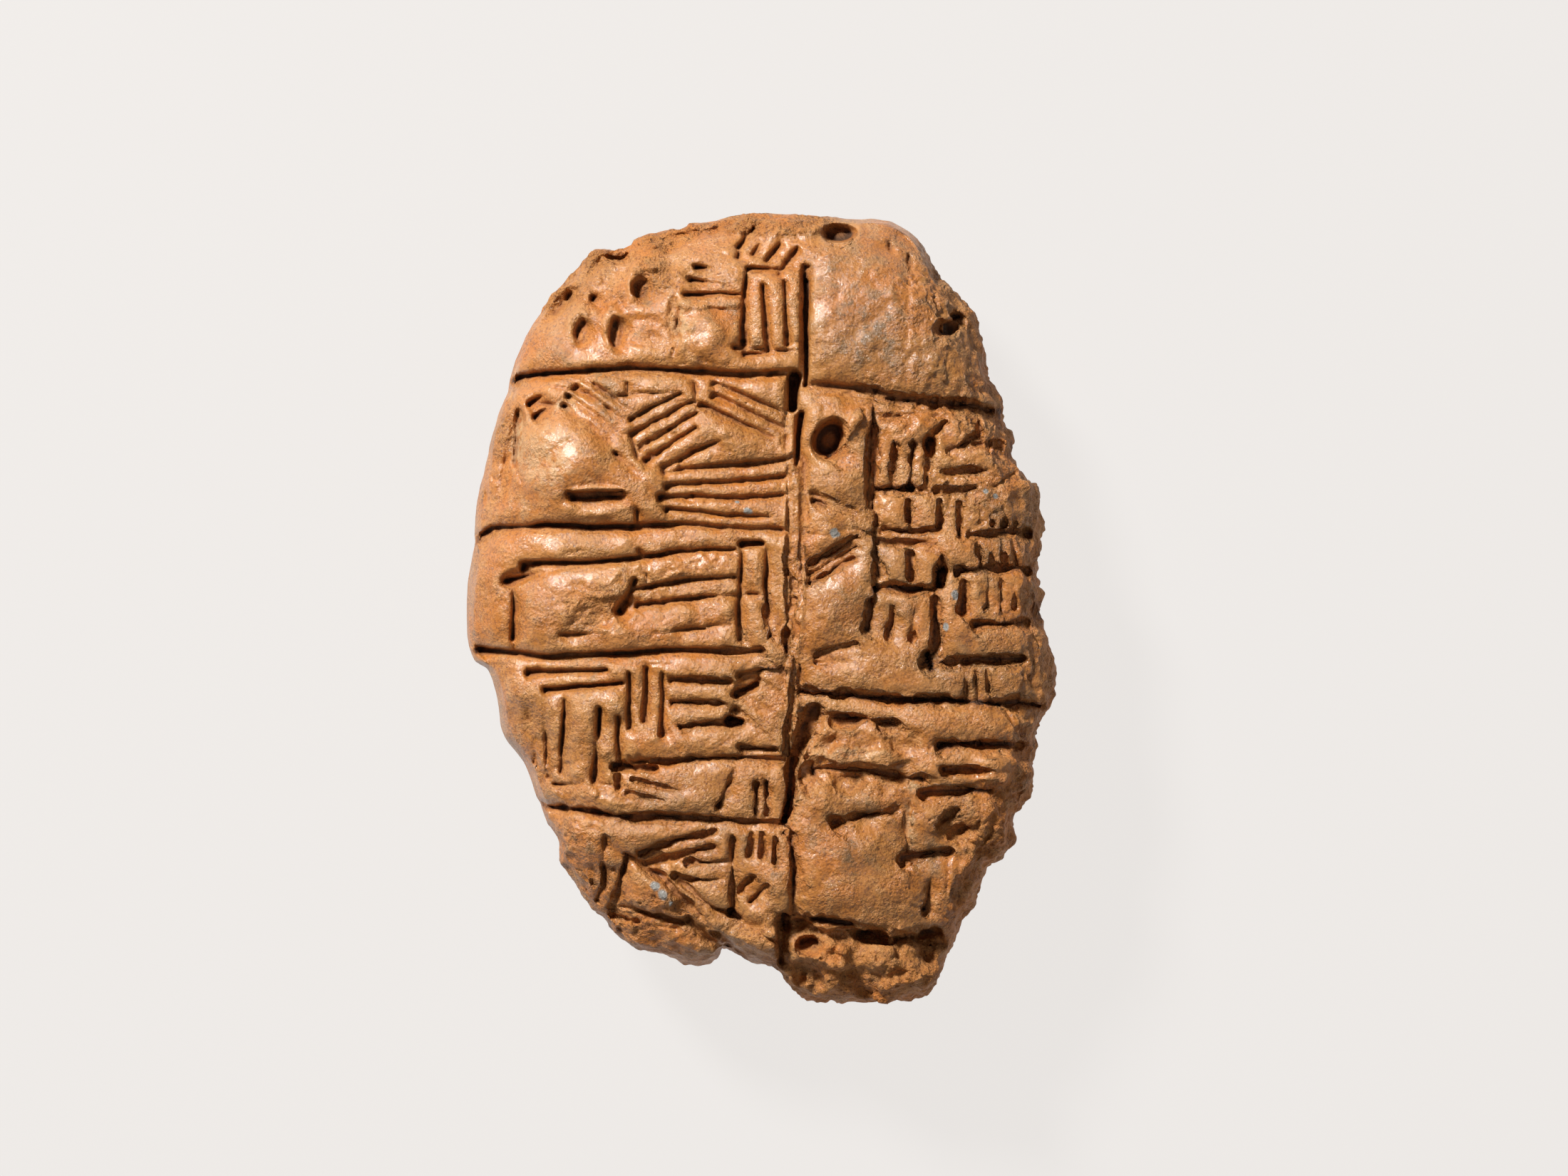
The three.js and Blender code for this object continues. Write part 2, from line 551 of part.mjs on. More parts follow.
// ---------------------------------------------------------------- the tablet
function tablet() {
  let clay = tabletBody();
  [footStep(), sideSlope(), edgeLump()].forEach((cutter) => {
    clay = clay.subtract(cutter);
  });
  RULINGS.forEach(({ path, width, depth, tail }) => {
    clay = clay.subtract(groove(path, width, depth, { tail }));
  });
  CRACKS.forEach(({ path, width }) => {
    clay = clay.subtract(groove(path, width, CRACK_DEPTH, { lean: 0, tail: 0.8 }));
  });
  writtenRows().flat(2).forEach((stroke) => {
    clay = clay.subtract(stroke);
  });
  const pits = [
    roundPit([6.6, 31.6], 2.7, 1.9, 2.2, [-24, -14]),
    roundPit([5.9, 14.2], 2.7, 3.0, 2.6, [-14, 16]),
    roundPit([4.3, -28.6], 2.4, 1.5, 1.6, [-20, 0]),
    dent([-15.2, 23.6], 1.5, 2.9, 0.9, 0),
    dent([-12, 23.6], 1.4, 3.6, 0.8, -4),
    dent([-10.1, 27.3], 1.3, 2.6, 0.8, 4),
    dent([-14, 26.8], 1.1, 1.8, 0.6, 8),
    dent([-16.9, 26], 1.2, 3.8, 0.9, -38),
    dent([16.6, 24.1], 1.3, 3.4, 1.3, -58),
    dent([2.2, -26.6], 1.6, 1.9, 1.6, 0),
    dent([9.8, -27.7], 2.6, 1.3, 1.8, -6),
    dent([14.6, -28.0], 2.9, 1.8, 1.8, 4),
  ];
  pits.forEach((pit) => {
    clay = clay.subtract(pit);
  });
  return clay;
}

const mesh = tablet().getMesh();
const geometry = new THREE.BufferGeometry();
geometry.setAttribute("position", new THREE.BufferAttribute(mesh.vertProperties, 3));
geometry.setIndex(new THREE.BufferAttribute(mesh.triVerts, 1));
geometry.computeBoundingBox();
const box = geometry.boundingBox;
geometry.translate(-(box.min.x + box.max.x) / 2, -(box.min.y + box.max.y) / 2, -box.min.z);
geometry.computeVertexNormals();

const clayMaterial = new THREE.MeshStandardMaterial({ color: 0xb8793f, roughness: 0.55, metalness: 0 });
const tabletMesh = new THREE.Mesh(geometry, clayMaterial);
tabletMesh.name = "tablet";

const group = new THREE.Group();
group.add(tabletMesh);
export default group;
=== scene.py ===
# %% [markdown]
# # A written clay tablet, finished in Blender
# The tablet is one lump of clay. Its solid from the CAD already has the outline, the crowned
# face, the ruled cases, the pressed strokes and the breaks, all with straight facets. Here the
# same form gets the surface of real clay: rounded lands between the strokes, torn and dragged
# grooves, rough breaks, stains and a waxy shine. Lengths in the lists below are millimetres,
# and everything handed to Blender is in metres, in the CAD's frame.

# %% Load the frame
import math
import bpy
import numpy as np
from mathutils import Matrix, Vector
from mathutils.bvhtree import BVHTree


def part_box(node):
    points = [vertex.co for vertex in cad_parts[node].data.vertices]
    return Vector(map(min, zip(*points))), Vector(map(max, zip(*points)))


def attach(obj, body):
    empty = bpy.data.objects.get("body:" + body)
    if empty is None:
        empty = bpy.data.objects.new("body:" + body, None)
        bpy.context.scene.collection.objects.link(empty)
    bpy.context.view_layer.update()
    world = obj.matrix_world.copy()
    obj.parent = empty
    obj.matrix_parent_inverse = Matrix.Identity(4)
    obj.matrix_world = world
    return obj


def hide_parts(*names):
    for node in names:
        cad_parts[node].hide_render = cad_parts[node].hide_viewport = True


MM = 0.001
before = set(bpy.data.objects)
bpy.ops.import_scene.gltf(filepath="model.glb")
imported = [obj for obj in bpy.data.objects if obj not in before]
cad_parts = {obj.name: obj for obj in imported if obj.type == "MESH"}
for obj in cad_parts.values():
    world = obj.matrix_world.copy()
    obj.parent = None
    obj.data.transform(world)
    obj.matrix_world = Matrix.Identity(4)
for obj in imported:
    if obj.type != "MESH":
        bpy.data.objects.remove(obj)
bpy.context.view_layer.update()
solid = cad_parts["tablet"]
low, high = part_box("tablet")
print("tablet solid, mm:", [round(v / MM, 2) for v in high - low])

# %% [markdown]
# ## A copy to work on
# Working on the solid itself would change what the finished size is compared with. The solid
# itself stays untouched, and its copy has its loose triangles merged, so that the modifiers
# further down find one closed skin.

# %% Copy and merge
def only(piece):
    bpy.ops.object.select_all(action="DESELECT")
    piece.select_set(True)
    bpy.context.view_layer.objects.active = piece


def apply_modifier(piece, kind, **settings):
    only(piece)
    modifier = piece.modifiers.new(kind.lower(), kind)
    for name, value in settings.items():
        setattr(modifier, name, value)
    bpy.ops.object.modifier_apply(modifier=modifier.name)


clay = bpy.data.objects.new("clay_tablet", solid.data.copy())
bpy.context.scene.collection.objects.link(clay)
only(clay)
bpy.ops.object.mode_set(mode="EDIT")
bpy.ops.mesh.select_all(action="SELECT")
bpy.ops.mesh.remove_doubles(threshold=0.001 * MM)
bpy.ops.object.mode_set(mode="OBJECT")
print("merged copy:", len(clay.data.vertices), "points")

# %% [markdown]
# ## Reading the face
# The written side is a relief with no undercuts, so it can be read as a map of heights:
# a ray goes straight down every tenth of a millimetre. On such a map a groove can be
# filled, softened or warped with plain arithmetic, which no modifier does.

# %% Read the heights of the face
STEP = 0.1
MARGIN = 3.0
xs = np.arange(low.x / MM - MARGIN, high.x / MM + MARGIN, STEP)
ys = np.arange(low.y / MM - MARGIN, high.y / MM + MARGIN, STEP)
grid_x, grid_y = np.meshgrid(xs, ys)


def read_heights(piece):
    tree = BVHTree.FromObject(piece, bpy.context.evaluated_depsgraph_get())
    down = Vector((0, 0, -1))
    start = high.z + 10 * MM
    heights = np.zeros(grid_x.shape)
    for row, y in enumerate(ys):
        for column, x in enumerate(xs):
            hit = tree.ray_cast(Vector((x * MM, y * MM, start)), down)[0]
            if hit is not None:
                heights[row, column] = hit.z / MM
    return heights


face = read_heights(clay)
inside = (face > 0).astype(float)
print("face map:", face.shape, "covers", round(inside.sum() * STEP * STEP), "square mm")

# %% [markdown]
# ## Blur and grain
# Clay is uneven at many sizes. The tool for that is a grain: seeded random numbers, one for
# each point of the map, blurred to the size that is wanted. The blur is a Gaussian made with
# a Fourier transform, which is quick at any reach and can reach further along one direction.

# %% Blur and grain
rows = np.fft.fftfreq(len(ys), STEP)[:, None]
columns = np.fft.fftfreq(len(xs), STEP)[None, :]


def blur(field, reach, along=None):
    """A Gaussian blur. With along=(reach, degrees) it blurs more in that direction."""
    if along is None:
        power = (rows**2 + columns**2) * reach**2
    else:
        far_reach, turn = along[0], math.radians(along[1])
        far = columns * math.cos(turn) + rows * math.sin(turn)
        side = -columns * math.sin(turn) + rows * math.cos(turn)
        power = far**2 * far_reach**2 + side**2 * reach**2
    return np.real(np.fft.ifft2(np.fft.fft2(field) * np.exp(-2 * math.pi**2 * power)))


def grain(seed, reach, along=None):
    """Seeded unevenness of one size, mostly between -2 and 2."""
    noise = np.random.default_rng(seed).standard_normal(grid_x.shape)
    noise = blur(noise, reach, along)
    return noise / noise.std()


def blur_inside(field, reach):
    """A blur that leaves out what lies past the outline."""
    return blur(field * inside, reach) / np.maximum(blur(inside, reach), 0.02)


print("points inside, before and after a blur:", round(inside.sum()), round(blur(inside, 1.0).sum()))

# %% [markdown]
# ## Ramps, spreads and reading between the points
# A ramp turns any value into a soft step from 0 to 1. A spread takes the highest or the
# lowest neighbour, so that two of them close a groove. Sample reads the map between its
# points, which is how a straight stroke becomes a wandering one.

# %% Ramp, spread and sample
def spread(field, reach, pick):
    cells = int(round(reach / STEP))
    for axis in (0, 1):
        field = pick.reduce([np.roll(field, k, axis) for k in range(-cells, cells + 1)])
    return field


def ramp(value, start, end):
    part = np.clip((value - start) / (end - start), 0, 1)
    return part * part * (3 - 2 * part)


def sample(field, x, y):
    column = np.clip((x - xs[0]) / STEP, 0, len(xs) - 1.001)
    row = np.clip((y - ys[0]) / STEP, 0, len(ys) - 1.001)
    c, r = column.astype(int), row.astype(int)
    u, v = column - c, row - r
    first = field[r, c] * (1 - u) + field[r, c + 1] * u
    second = field[r + 1, c] * (1 - u) + field[r + 1, c + 1] * u
    return first * (1 - v) + second * v


print("a ramp from 0 to 1, a quarter of the way:", round(float(ramp(0.25, 0, 1)), 2))

# %% [markdown]
# ## Soft ovals and lines
# Places on the tablet are given as ovals and as paths, as someone would mark them with a
# finger or a stylus. Each becomes a soft shape on the map that is 1 inside and 0 outside.

# %% Soft ovals and lines
def patch(x, y, across, along, turn=0):
    """1 in the middle of a soft-edged oval, 0 away from it."""
    c, s = math.cos(math.radians(turn)), math.sin(math.radians(turn))
    dx, dy = grid_x - x, grid_y - y
    far = np.sqrt(((dx * c + dy * s) / across) ** 2 + ((-dx * s + dy * c) / along) ** 2)
    return 1 - ramp(far, 0.65, 1.25)


def line(path, width, tail=1.0):
    """1 along a path, falling to 0 at half its width. The tail is thinner than the head."""
    mark = np.zeros(grid_x.shape)
    legs = len(path) - 1
    for leg in range(legs):
        (ax, ay), (bx, by) = path[leg], path[leg + 1]
        ux, uy = bx - ax, by - ay
        along = np.clip(((grid_x - ax) * ux + (grid_y - ay) * uy) / (ux * ux + uy * uy), 0, 1)
        away = np.hypot(grid_x - ax - along * ux, grid_y - ay - along * uy)
        half = width / 2 * (1 + (tail - 1) * (leg + along) / legs)
        mark = np.maximum(mark, 1 - away / half)
    return mark


print("an oval of 4 by 2 mm covers", round(patch(0, 0, 2, 1).sum() * STEP * STEP, 1), "square mm")

# %% [markdown]
# ## Skin and cuts
# The map is parted in two. The skin is the face with its strokes closed over and its facets
# blurred away, except at steps and pits, which stay crisp. The cuts are what the strokes
# take out of it. A blur over everything would wipe out the strokes as well, so they are set
# apart first and pressed in again later.

# %% Part the face into skin and cuts
WIDEST_STROKE = 1.3
DEEPEST_CUT = 4
SOFT_REACH = 1.1
CRISP_REACH = 0.22
STEP_HEIGHT = 0.28
closed = spread(spread(face, WIDEST_STROKE, np.maximum), WIDEST_STROKE, np.minimum)
closed = np.where(inside > 0, np.maximum(closed, face), 0)
smooth = blur_inside(closed, SOFT_REACH)
is_smooth = blur(np.exp(-(((closed - smooth) / STEP_HEIGHT) ** 2)), 0.35)
skin = is_smooth * smooth + (1 - is_smooth) * blur_inside(closed, CRISP_REACH)
cuts = np.clip(closed - face, 0, DEEPEST_CUT) * inside
print("deepest cut, mm:", round(cuts.max(), 2))

# %% [markdown]
# ## Where the clay is rough
# The breaks and the worn top edge show the coarse inside of the clay, and a few patches of
# the face are crumbled. They could be painted as a mask. A list of soft ovals does as well
# and is easier to read and change: place, half sizes, turn and how rough.

# %% Rough places
ROUGH_PLACES = [
    (9.5, -31, 8.5, 4.3, 0, 1.0),  # the chunk at the foot
    (20.6, -19.5, 2.9, 9.5, -18, 1.0),  # the slope of the lower right break
    (24.7, -6, 1.3, 4.6, 0, 0.9),  # the lump on the right edge
    (20.3, 20.5, 1.3, 9.5, 24, 0.8),  # the upper right break
    (-10.5, 31.2, 6.5, 1.9, 16, 1.0),  # the worn top edge
    (-18, 27.5, 3.6, 1.6, 48, 0.8),
    (0, 33, 8, 1.5, -2, 0.8),
    (-12, 27.5, 6, 2.6, 10, 0.45),
    (-7.5, 22.8, 2.6, 2.4, 0, 0.4),
    (-14, 0, 3.2, 2.4, 0, 0.5),
    (8.8, -11.6, 6, 2.0, 0, 0.5),
    (8, -15.5, 5.5, 2.2, 0, 0.4),
    (18, -17.8, 4, 2.2, 0, 0.6),
    (-8, -26.5, 6.5, 2.4, -14, 0.6),
    (1, -27.5, 3.5, 2.6, 0, 0.7),
    (-21.5, 15, 1.2, 3, -15, 0.5),
    (22.3, 10, 1.6, 1.6, 0, 0.4),
]
rough = np.zeros(grid_x.shape)
for x, y, across, along, turn, amount in ROUGH_PLACES:
    rough = np.maximum(rough, amount * patch(x, y, across, along, turn))
rough = np.clip(rough * (1 + 0.25 * grain(11, 1.2)), 0, 1)
print("rough share of the face:", round(float((rough * inside).sum() / inside.sum()), 2))

# %% [markdown]
# ## Strokes that wander
# A hand presses the strokes one by one, so none is straight or even. Moving each stroke's
# points by hand would take hundreds of numbers. Here the whole map of cuts is read through a
# wavy lens instead, with one slow and one quick wave.

# %% Let the strokes wander
SLOW_WANDER = 0.11
QUICK_WANDER = 0.03
warp_x = grid_x + SLOW_WANDER * grain(1, 2.2) + QUICK_WANDER * grain(2, 0.4)
warp_y = grid_y + SLOW_WANDER * grain(3, 2.2) + QUICK_WANDER * grain(4, 0.4)
pressed = blur(sample(cuts, warp_x, warp_y), 0.05)
print("pressed share of the face:", round(float((pressed > 0.2).sum() / inside.sum()), 2))

# %% [markdown]
# ## Thin strokes
# Between the deep strokes lie fine ones, where the stylus only touched the clay. They are
# finer than the facets of the solid, so they are pressed here. Each is a line with a broad
# head and a thin tail: its two ends, its width and its depth. They spell nothing.

# %% Thin strokes
THIN_STROKES = [
    # upper left case
    (-6.6, 26.2, -1.0, 26.5, 0.4, 0.4), (-4.4, 25.0, -1.0, 25.1, 0.3, 0.25),
    (-2.2, 22.2, 0.3, 22.0, 0.5, 0.35), (-1.9, 29.6, -1.2, 32.4, 0.5, 0.4),
    (-18.3, 20.7, -6, 20.5, 0.3, 0.25), (-5, 20.9, -2.6, 20.6, 0.3, 0.2),
    # second case
    (-16.0, 9.7, -11.5, 9.9, 0.5, 0.5), (-11.5, 9.9, -10.2, 9.0, 0.4, 0.3),
    (-10.3, 8.3, -10.3, 6.8, 0.4, 0.4), (-20.4, 16.6, -20.8, 12.6, 0.6, 0.3),
    (-20.8, 12.6, -19.8, 10.2, 0.5, 0.3), (-11.3, 19.0, -11.4, 17.8, 0.3, 0.4),
    (-12.0, 17.9, -7.5, 18.1, 0.4, 0.35), (-18.4, 17.1, -17.3, 17.1, 0.6, 0.5),
    (-5.4, 19.4, -5.2, 16.4, 0.4, 0.3), (-11, 14.6, -10.3, 12.4, 0.4, 0.3),
    (-12.2, 13.0, -9.8, 10.6, 0.4, 0.3), (2.1, 16.4, 2.0, 13, 0.5, 0.3),
    # third case
    (-21.8, 2.3, -16.4, 3.3, 0.6, 0.45), (-16.8, -2.2, -12.4, -2.0, 0.4, 0.35),
    (-12.3, -2, -11.7, -0.3, 0.4, 0.3), (-10.1, 5, -10, 4.2, 0.3, 0.3),
    (-9.6, 2.9, -9.8, 1.2, 0.3, 0.3), (-20.9, 1.5, -20.7, -3.6, 0.5, 0.3),
    (-16.2, 4.6, -15, 5, 0.6, 0.3), (-1.4, 5.4, 0.3, 5.4, 0.8, 0.8),
    (-2.6, 4.4, -2.7, 1.2, 0.4, 0.3), (-4.4, -1.5, -0.6, -1.3, 0.3, 0.2),
    # upper right cases
    (9.3, 17, 8.8, 8, 0.5, 0.6), (9.8, 16, 13, 16.2, 0.35, 0.3), (4.2, 9.7, 9.7, 7.6, 0.5, 0.5),
    (6.6, 6.7, 9.7, 6.5, 0.5, 0.45), (17.7, 9.7, 17.6, 6.6, 0.5, 0.5),
    (18.3, 16.2, 18.6, 13.9, 0.4, 0.5), (18, 13.8, 21.5, 13.7, 0.4, 0.4),
    (21.5, 11.2, 19.5, 10, 0.5, 0.5), (14.4, 14.6, 15.4, 15.6, 0.5, 0.5),
    (9.7, 7.9, 9.5, 0, 0.4, 0.5), (3.9, 2.9, 8.3, 5.2, 0.5, 0.5),
]
HEAD_SHARE = 1.2
TAIL_SHARE = 0.4
PRESS_SHARE = 0.8
for x1, y1, x2, y2, width, depth in THIN_STROKES:
    stroke = line([(x1, y1), (x2, y2)], HEAD_SHARE * width, TAIL_SHARE)
    pressed = np.maximum(pressed, PRESS_SHARE * depth * sample(stroke, warp_x, warp_y))
print("thin strokes:", len(THIN_STROKES))

# %% [markdown]
# ## Troughs and pits
# The divider between the columns, the deep ends of some strokes and a few gaps are broader
# than a stroke. The solid has most of them, and here they get their full depth, as paths with
# a width and a depth. The round pits come from the blunt end of the stylus, pressed straight
# down, and the clay close round them stays whole.

# %% Troughs and pits
TROUGHS = [
    ([(3.0, 12.2), (2.9, 6), (2.6, -1.5), (2.3, -3.5)], 1.9, 0.1),
    ([(2.8, -5), (2.5, -12)], 1.2, 0.1), ([(4.1, 27.6), (3.8, 22), (3.7, 18.8)], 0.6, 1.1),
    ([(2.7, 19.3), (2.7, 16.9)], 1.3, 1.8), ([(3.4, 16.3), (2.9, 12)], 0.6, 0.9),
    ([(4.5, -8.6), (3.1, -12.6)], 1.2, 0.5), ([(2.9, -12.8), (2.1, -18)], 0.6, 1.0),
    ([(-2.6, -9.7), (-1.7, -9.8)], 1.1, 0.9), ([(-12.3, -13.1), (-9, -13.3)], 0.8, 0.7),
    ([(15.1, 3.1), (15, 2)], 1.2, 1.0), ([(14.1, 14), (14.2, 13.2)], 0.9, 0.6),
    ([(9.8, 10.2), (12.8, 10.3)], 0.8, 0.6), ([(9.6, 1.5), (13.5, 1.6)], 0.8, 0.6),
    ([(-1.4, 5.3), (0.2, 5.4)], 0.8, 0.6), ([(-2, -7.2), (-0.6, -6.4)], 0.9, 0.4),
    ([(14.1, -4), (14.4, -5)], 0.8, 1.0), ([(3.2, -7.0), (9, -7.5), (20, -8.2)], 0.5, 0.7),
    ([(2.1, -26), (2.1, -27)], 1.0, 1.0), ([(-2.6, -25.8), (-1.9, -26.2)], 1.0, 0.8),
]
TROUGH_SHARE = 1.1
TROUGH_TAIL = 0.65
deeper = np.zeros(grid_x.shape)
for path, width, depth in TROUGHS:
    trough = sample(line(path, TROUGH_SHARE * width, TROUGH_TAIL), warp_x, warp_y)
    trough = ramp(trough, 0.02, 0.4)
    pressed = np.maximum(pressed, PRESS_SHARE * trough)
    deeper = np.maximum(deeper, depth * trough)

PITS = [
    (5.8, 14.2, 1.2, 1.65, -28, 2.9), (6.7, 31.8, 1.4, 0.8, 0, 2.2),
    (4.2, -28.5, 1.1, 0.7, 0, 2.2), (15.9, 23.6, 0.9, 0.7, 30, 1.4),
]
WHOLE_RIM = 0.4
for x, y, across, along, turn, depth in PITS:
    pit = patch(x, y, across, along, turn)
    pressed = pressed * (1 - patch(x, y, across + WHOLE_RIM, along + WHOLE_RIM, turn))
    deeper = np.maximum(deeper, depth * pit)
print("troughs and pits:", len(TROUGHS), len(PITS), "deepest, mm:", round(deeper.max(), 1))

# %% [markdown]
# ## One steep wall
# A stylus is held at a slant, so a stroke isn't a plain ditch. It drops steeply at its upper
# left and comes up gently at its lower right. A map of cuts with the same depth all over its
# floor gets this by comparing each point with the one a little to its upper left: where that
# is in the stroke as well, the point is on the floor, and the floor is mostly filled again.

# %% Keep one wall of each stroke
WALL = 0.3
FLOOR_FILL = 0.75
upper_left = np.minimum(pressed, sample(pressed, grid_x - WALL, grid_y + WALL))
on_floor = ramp(upper_left / np.maximum(pressed, 0.1), 0.2, 0.9)
broad = pressed
pressed = pressed * (1 - FLOOR_FILL * on_floor * (1 - 0.5 * ramp(pressed, 1.0, 2.0)))
pressed = np.clip(pressed * (1 + 0.22 * grain(5, 0.8) + 0.2 * grain(13, 2.5)), 0, DEEPEST_CUT)
print("share that keeps its depth:", round(float((pressed > 0.2).sum() / (broad > 0.2).sum()), 2))

# %% [markdown]
# ## Lands that swell between the strokes
# Pressed clay has to go somewhere: the land between two strokes swells into a rounded bar.
# Sculpting each one by hand would be slow. Here the swelling is a skin stretched over the
# face and pinned down in every stroke, like a quilt. Each point settles at the mean of its
# neighbours and is pushed up a little, again and again. With a lean the skin rises to one
# side of a stroke only, which gives the gentle slope opposite the steep wall.

# %% Settle a pinned skin
def settle(pins, reach, rounds, lean=0.0):
    """0 where it is pinned, towards 1 far from a pin. With lean=1 it rises only towards the
    lower right of each pin, with lean=-1 only towards the upper left."""
    free = 1 - pins
    side = abs(lean)
    pull = (1 - side) * (STEP / reach) ** 2 / 4 + side * STEP / (2 * reach)
    field = free.copy()
    for _ in range(rounds):
        behind = np.roll(field, 1, 1) + np.roll(field, -1, 0)
        ahead = np.roll(field, -1, 1) + np.roll(field, 1, 0)
        near = (1 + lean) / 4 * behind + (1 - lean) / 4 * ahead
        field = free * (near + pull) / (1 + pull)
    return field


PIN_DEPTH = 0.16
PIN_UNEVEN = 0.05
PIN_FADE = 0.2


def pinned(depth):
    """How firmly a stroke of this depth holds the skin down, from 0 to 1."""
    uneven_depth = depth - PIN_DEPTH - PIN_UNEVEN * np.clip(grain(12, 1.5), -2, 2)
    return np.clip(uneven_depth / PIN_FADE, 0, 1)


pins = pinned(pressed)
pillow = np.sqrt(settle(pinned(broad), 1.6, 300))
roll_off = settle(pins, 0.45, 80, -0.9)
slope_up = settle(pins, 2.4, 200, 0.85)
steep_up = settle(pins, 0.9, 100, 0.85)
print("height of the pillow, 0 to 1:", np.percentile(pillow[inside > 0], (5, 50, 95)).round(2))

# %% [markdown]
# ## Putting the relief together
# The four skins are added up. A wide blur of the sum is taken off again, so that a crowded
# case doesn't sink as a whole, and a fixed drop keeps the highest lands near the CAD's face.

# %% Lands, strokes and skin
PILLOW, ROLL_OFF, SLOPE_UP, STEEP_UP = 0.6, 0.2, 0.35, 0.35
HIGHEST_LAND = PILLOW + ROLL_OFF + SLOPE_UP + STEEP_UP
SWELL = 1.12
EVENED_OUT = 0.6
DROP = 0.85
WALL_DEPTH = 0.3
land = PILLOW * pillow + ROLL_OFF * roll_off + SLOPE_UP * slope_up + STEEP_UP * steep_up
swell = SWELL * (land - EVENED_OUT * blur_inside(land, 3.0)) - DROP
relief = skin - WALL_DEPTH * pressed - deeper + swell
print("swell over the skin, mm:", np.percentile(swell[inside > 0], (5, 50, 95)).round(2))

# %% [markdown]
# ## Dents and lumps
# Fingers and tools left wider marks, too soft to count as strokes. A sculpting brush could
# push them in one by one. A list of ovals can be read and changed later: place, half sizes,
# turn and height, negative for a dent.

# %% Dents and lumps
FORMS = [
    # upper left case
    (-15.4, 24.0, 1.0, 1.8, -6, 0.6), (-12.5, 23.8, 0.8, 1.9, 2, 0.6), (-10.5, 27.5, 0.8, 1.6, 0, 0.7),
    (-9.7, 23.3, 2.1, 1.4, -10, -0.5), (-17, 25.7, 0.7, 2.2, -38, -0.5),
    (-7.2, 24.2, 0.6, 1.9, 0, -0.5), (-5, 23, 1.9, 1.7, 0, 0.4),
    (-13.3, 29.8, 0.5, 2.2, -35, -0.5), (-10.8, 29.2, 2.6, 0.7, -8, 0.35),
    (-8.5, 30.8, 2.4, 0.8, 0, -0.35), (-4, 25.7, 3.2, 0.6, 3, 0.3),
    # second and third case
    (-17, 12.4, 4.0, 3.8, 0, 0.5), (-21, 13, 0.7, 4.2, -12, -0.45),
    (-13.8, 8.3, 2.7, 0.8, 3, 0.3), (-13.8, 9.7, 2.6, 0.5, 2, 0.6), (-20.5, 2.6, 1.6, 0.7, 20, -0.5),
    (-17.5, -0.2, 2.6, 2.4, 0, 0.2), (-13.7, -0.6, 2.2, 1.2, 15, -0.35),
    # right column, and the ends of its rulings
    (7.5, 15, 0.5, 1.7, -28, 0.4), (4.3, 15.4, 0.6, 1.8, -20, 0.25),
    (-1, -6.3, 1.2, 0.6, 25, -0.5), (4, -10.2, 0.9, 2.6, -30, -0.6),
    (15.5, 23.5, 0.9, 0.7, 20, -0.5), (20, -13.6, 1.8, 1.4, 0, 0.5),
    (7.6, -11.5, 2.6, 1.2, 0, -0.35), (12.2, -11.2, 1.8, 1.2, 0, -0.3),
    # lower cases
    (8, -22.5, 4.5, 3.5, 0, 0.3), (-9, -21.5, 1.6, 1.2, -30, -0.4),
    (-14, -24.5, 2.4, 1.5, -40, 0.35), (-3.5, -28.3, 2.6, 1.2, 0, 0.3),
    # the broken foot
    (6.5, -28.6, 6.5, 1.9, -5, 1.6), (8.5, -31, 6.8, 3, 0, 0.9), (4, -31, 3, 2.4, 0, 0.5),
    (12, -31.2, 3.6, 1.6, 0, 0.9), (14.2, -28.8, 1.5, 0.7, -24, 0.7), (9.4, -27.8, 1.4, 0.5, -3, -1.5),
    (6.6, -27.9, 1.5, 1.1, -20, 0.4), (3.3, -31, 0.5, 1.2, 0, -0.6),
    # the divider's floor
    (2.85, 4.5, 0.95, 9.5, 0, 0.8), (2.7, -8, 0.6, 4, 0, 0.4),
    # the crumbled case below the middle
    (7.2, -9.5, 1.3, 0.7, -4, -0.8), (10.5, -10, 1.1, 0.6, 0, -0.7), (4.1, -14.3, 0.8, 1.3, 0, -0.9),
    (7.7, -14.7, 1.3, 0.9, -4, -0.7), (8.5, -12.4, 4.5, 0.6, -2, 0.4), (18.2, -13.3, 3.6, 1.6, 0, 0.35),
]
for x, y, across, along, turn, height in FORMS:
    relief = relief + height * patch(x, y, across, along, turn)
print("dents and lumps:", len(FORMS))

# %% [markdown]
# ## Drag lines
# Where a broad tool was dragged through wet clay it leaves fine parallel lines. They could be
# modelled as dozens of thin strokes. A grain that is blurred far along the drag and hardly
# across it gives the same lines: place, half sizes, direction and depth.

# %% Drag lines
DRAGGED = [
    (2.95, 6, 0.95, 7.5, 90, 0.10),  # the trough between the columns
    (2.7, -8, 0.7, 5, 90, 0.09),
    (23.5, 0, 0.6, 8, 90, 0.08),  # the right margin
    (5.4, 24.5, 1.8, 6, 91, 0.02),
    (16.3, -23.5, 0.7, 2.8, 88, 0.09),
    (-2.6, -19.8, 0.5, 1.6, 90, 0.06),
    (-0.5, 3.4, 0.4, 1.8, 90, 0.06),
    (7, -14.2, 5, 0.7, -4, 0.05),
    (12, 17.6, 8, 0.6, -6, 0.05),
]
for x, y, across, along, turn, depth in DRAGGED:
    seed = int(100 + abs(x * 7 + y))
    drag = grain(seed, 0.12, along=(2.5, turn))
    relief = relief - depth * patch(x, y, across, along) * (0.6 + drag)
print("dragged places:", len(DRAGGED))

# %% [markdown]
# ## Scratches
# Some scratches and joints in the clay have a place of their own: a path, a width and a
# depth. They use the same line tool as the thin strokes, but come after the swelling, because
# the clay was nearly dry by then.

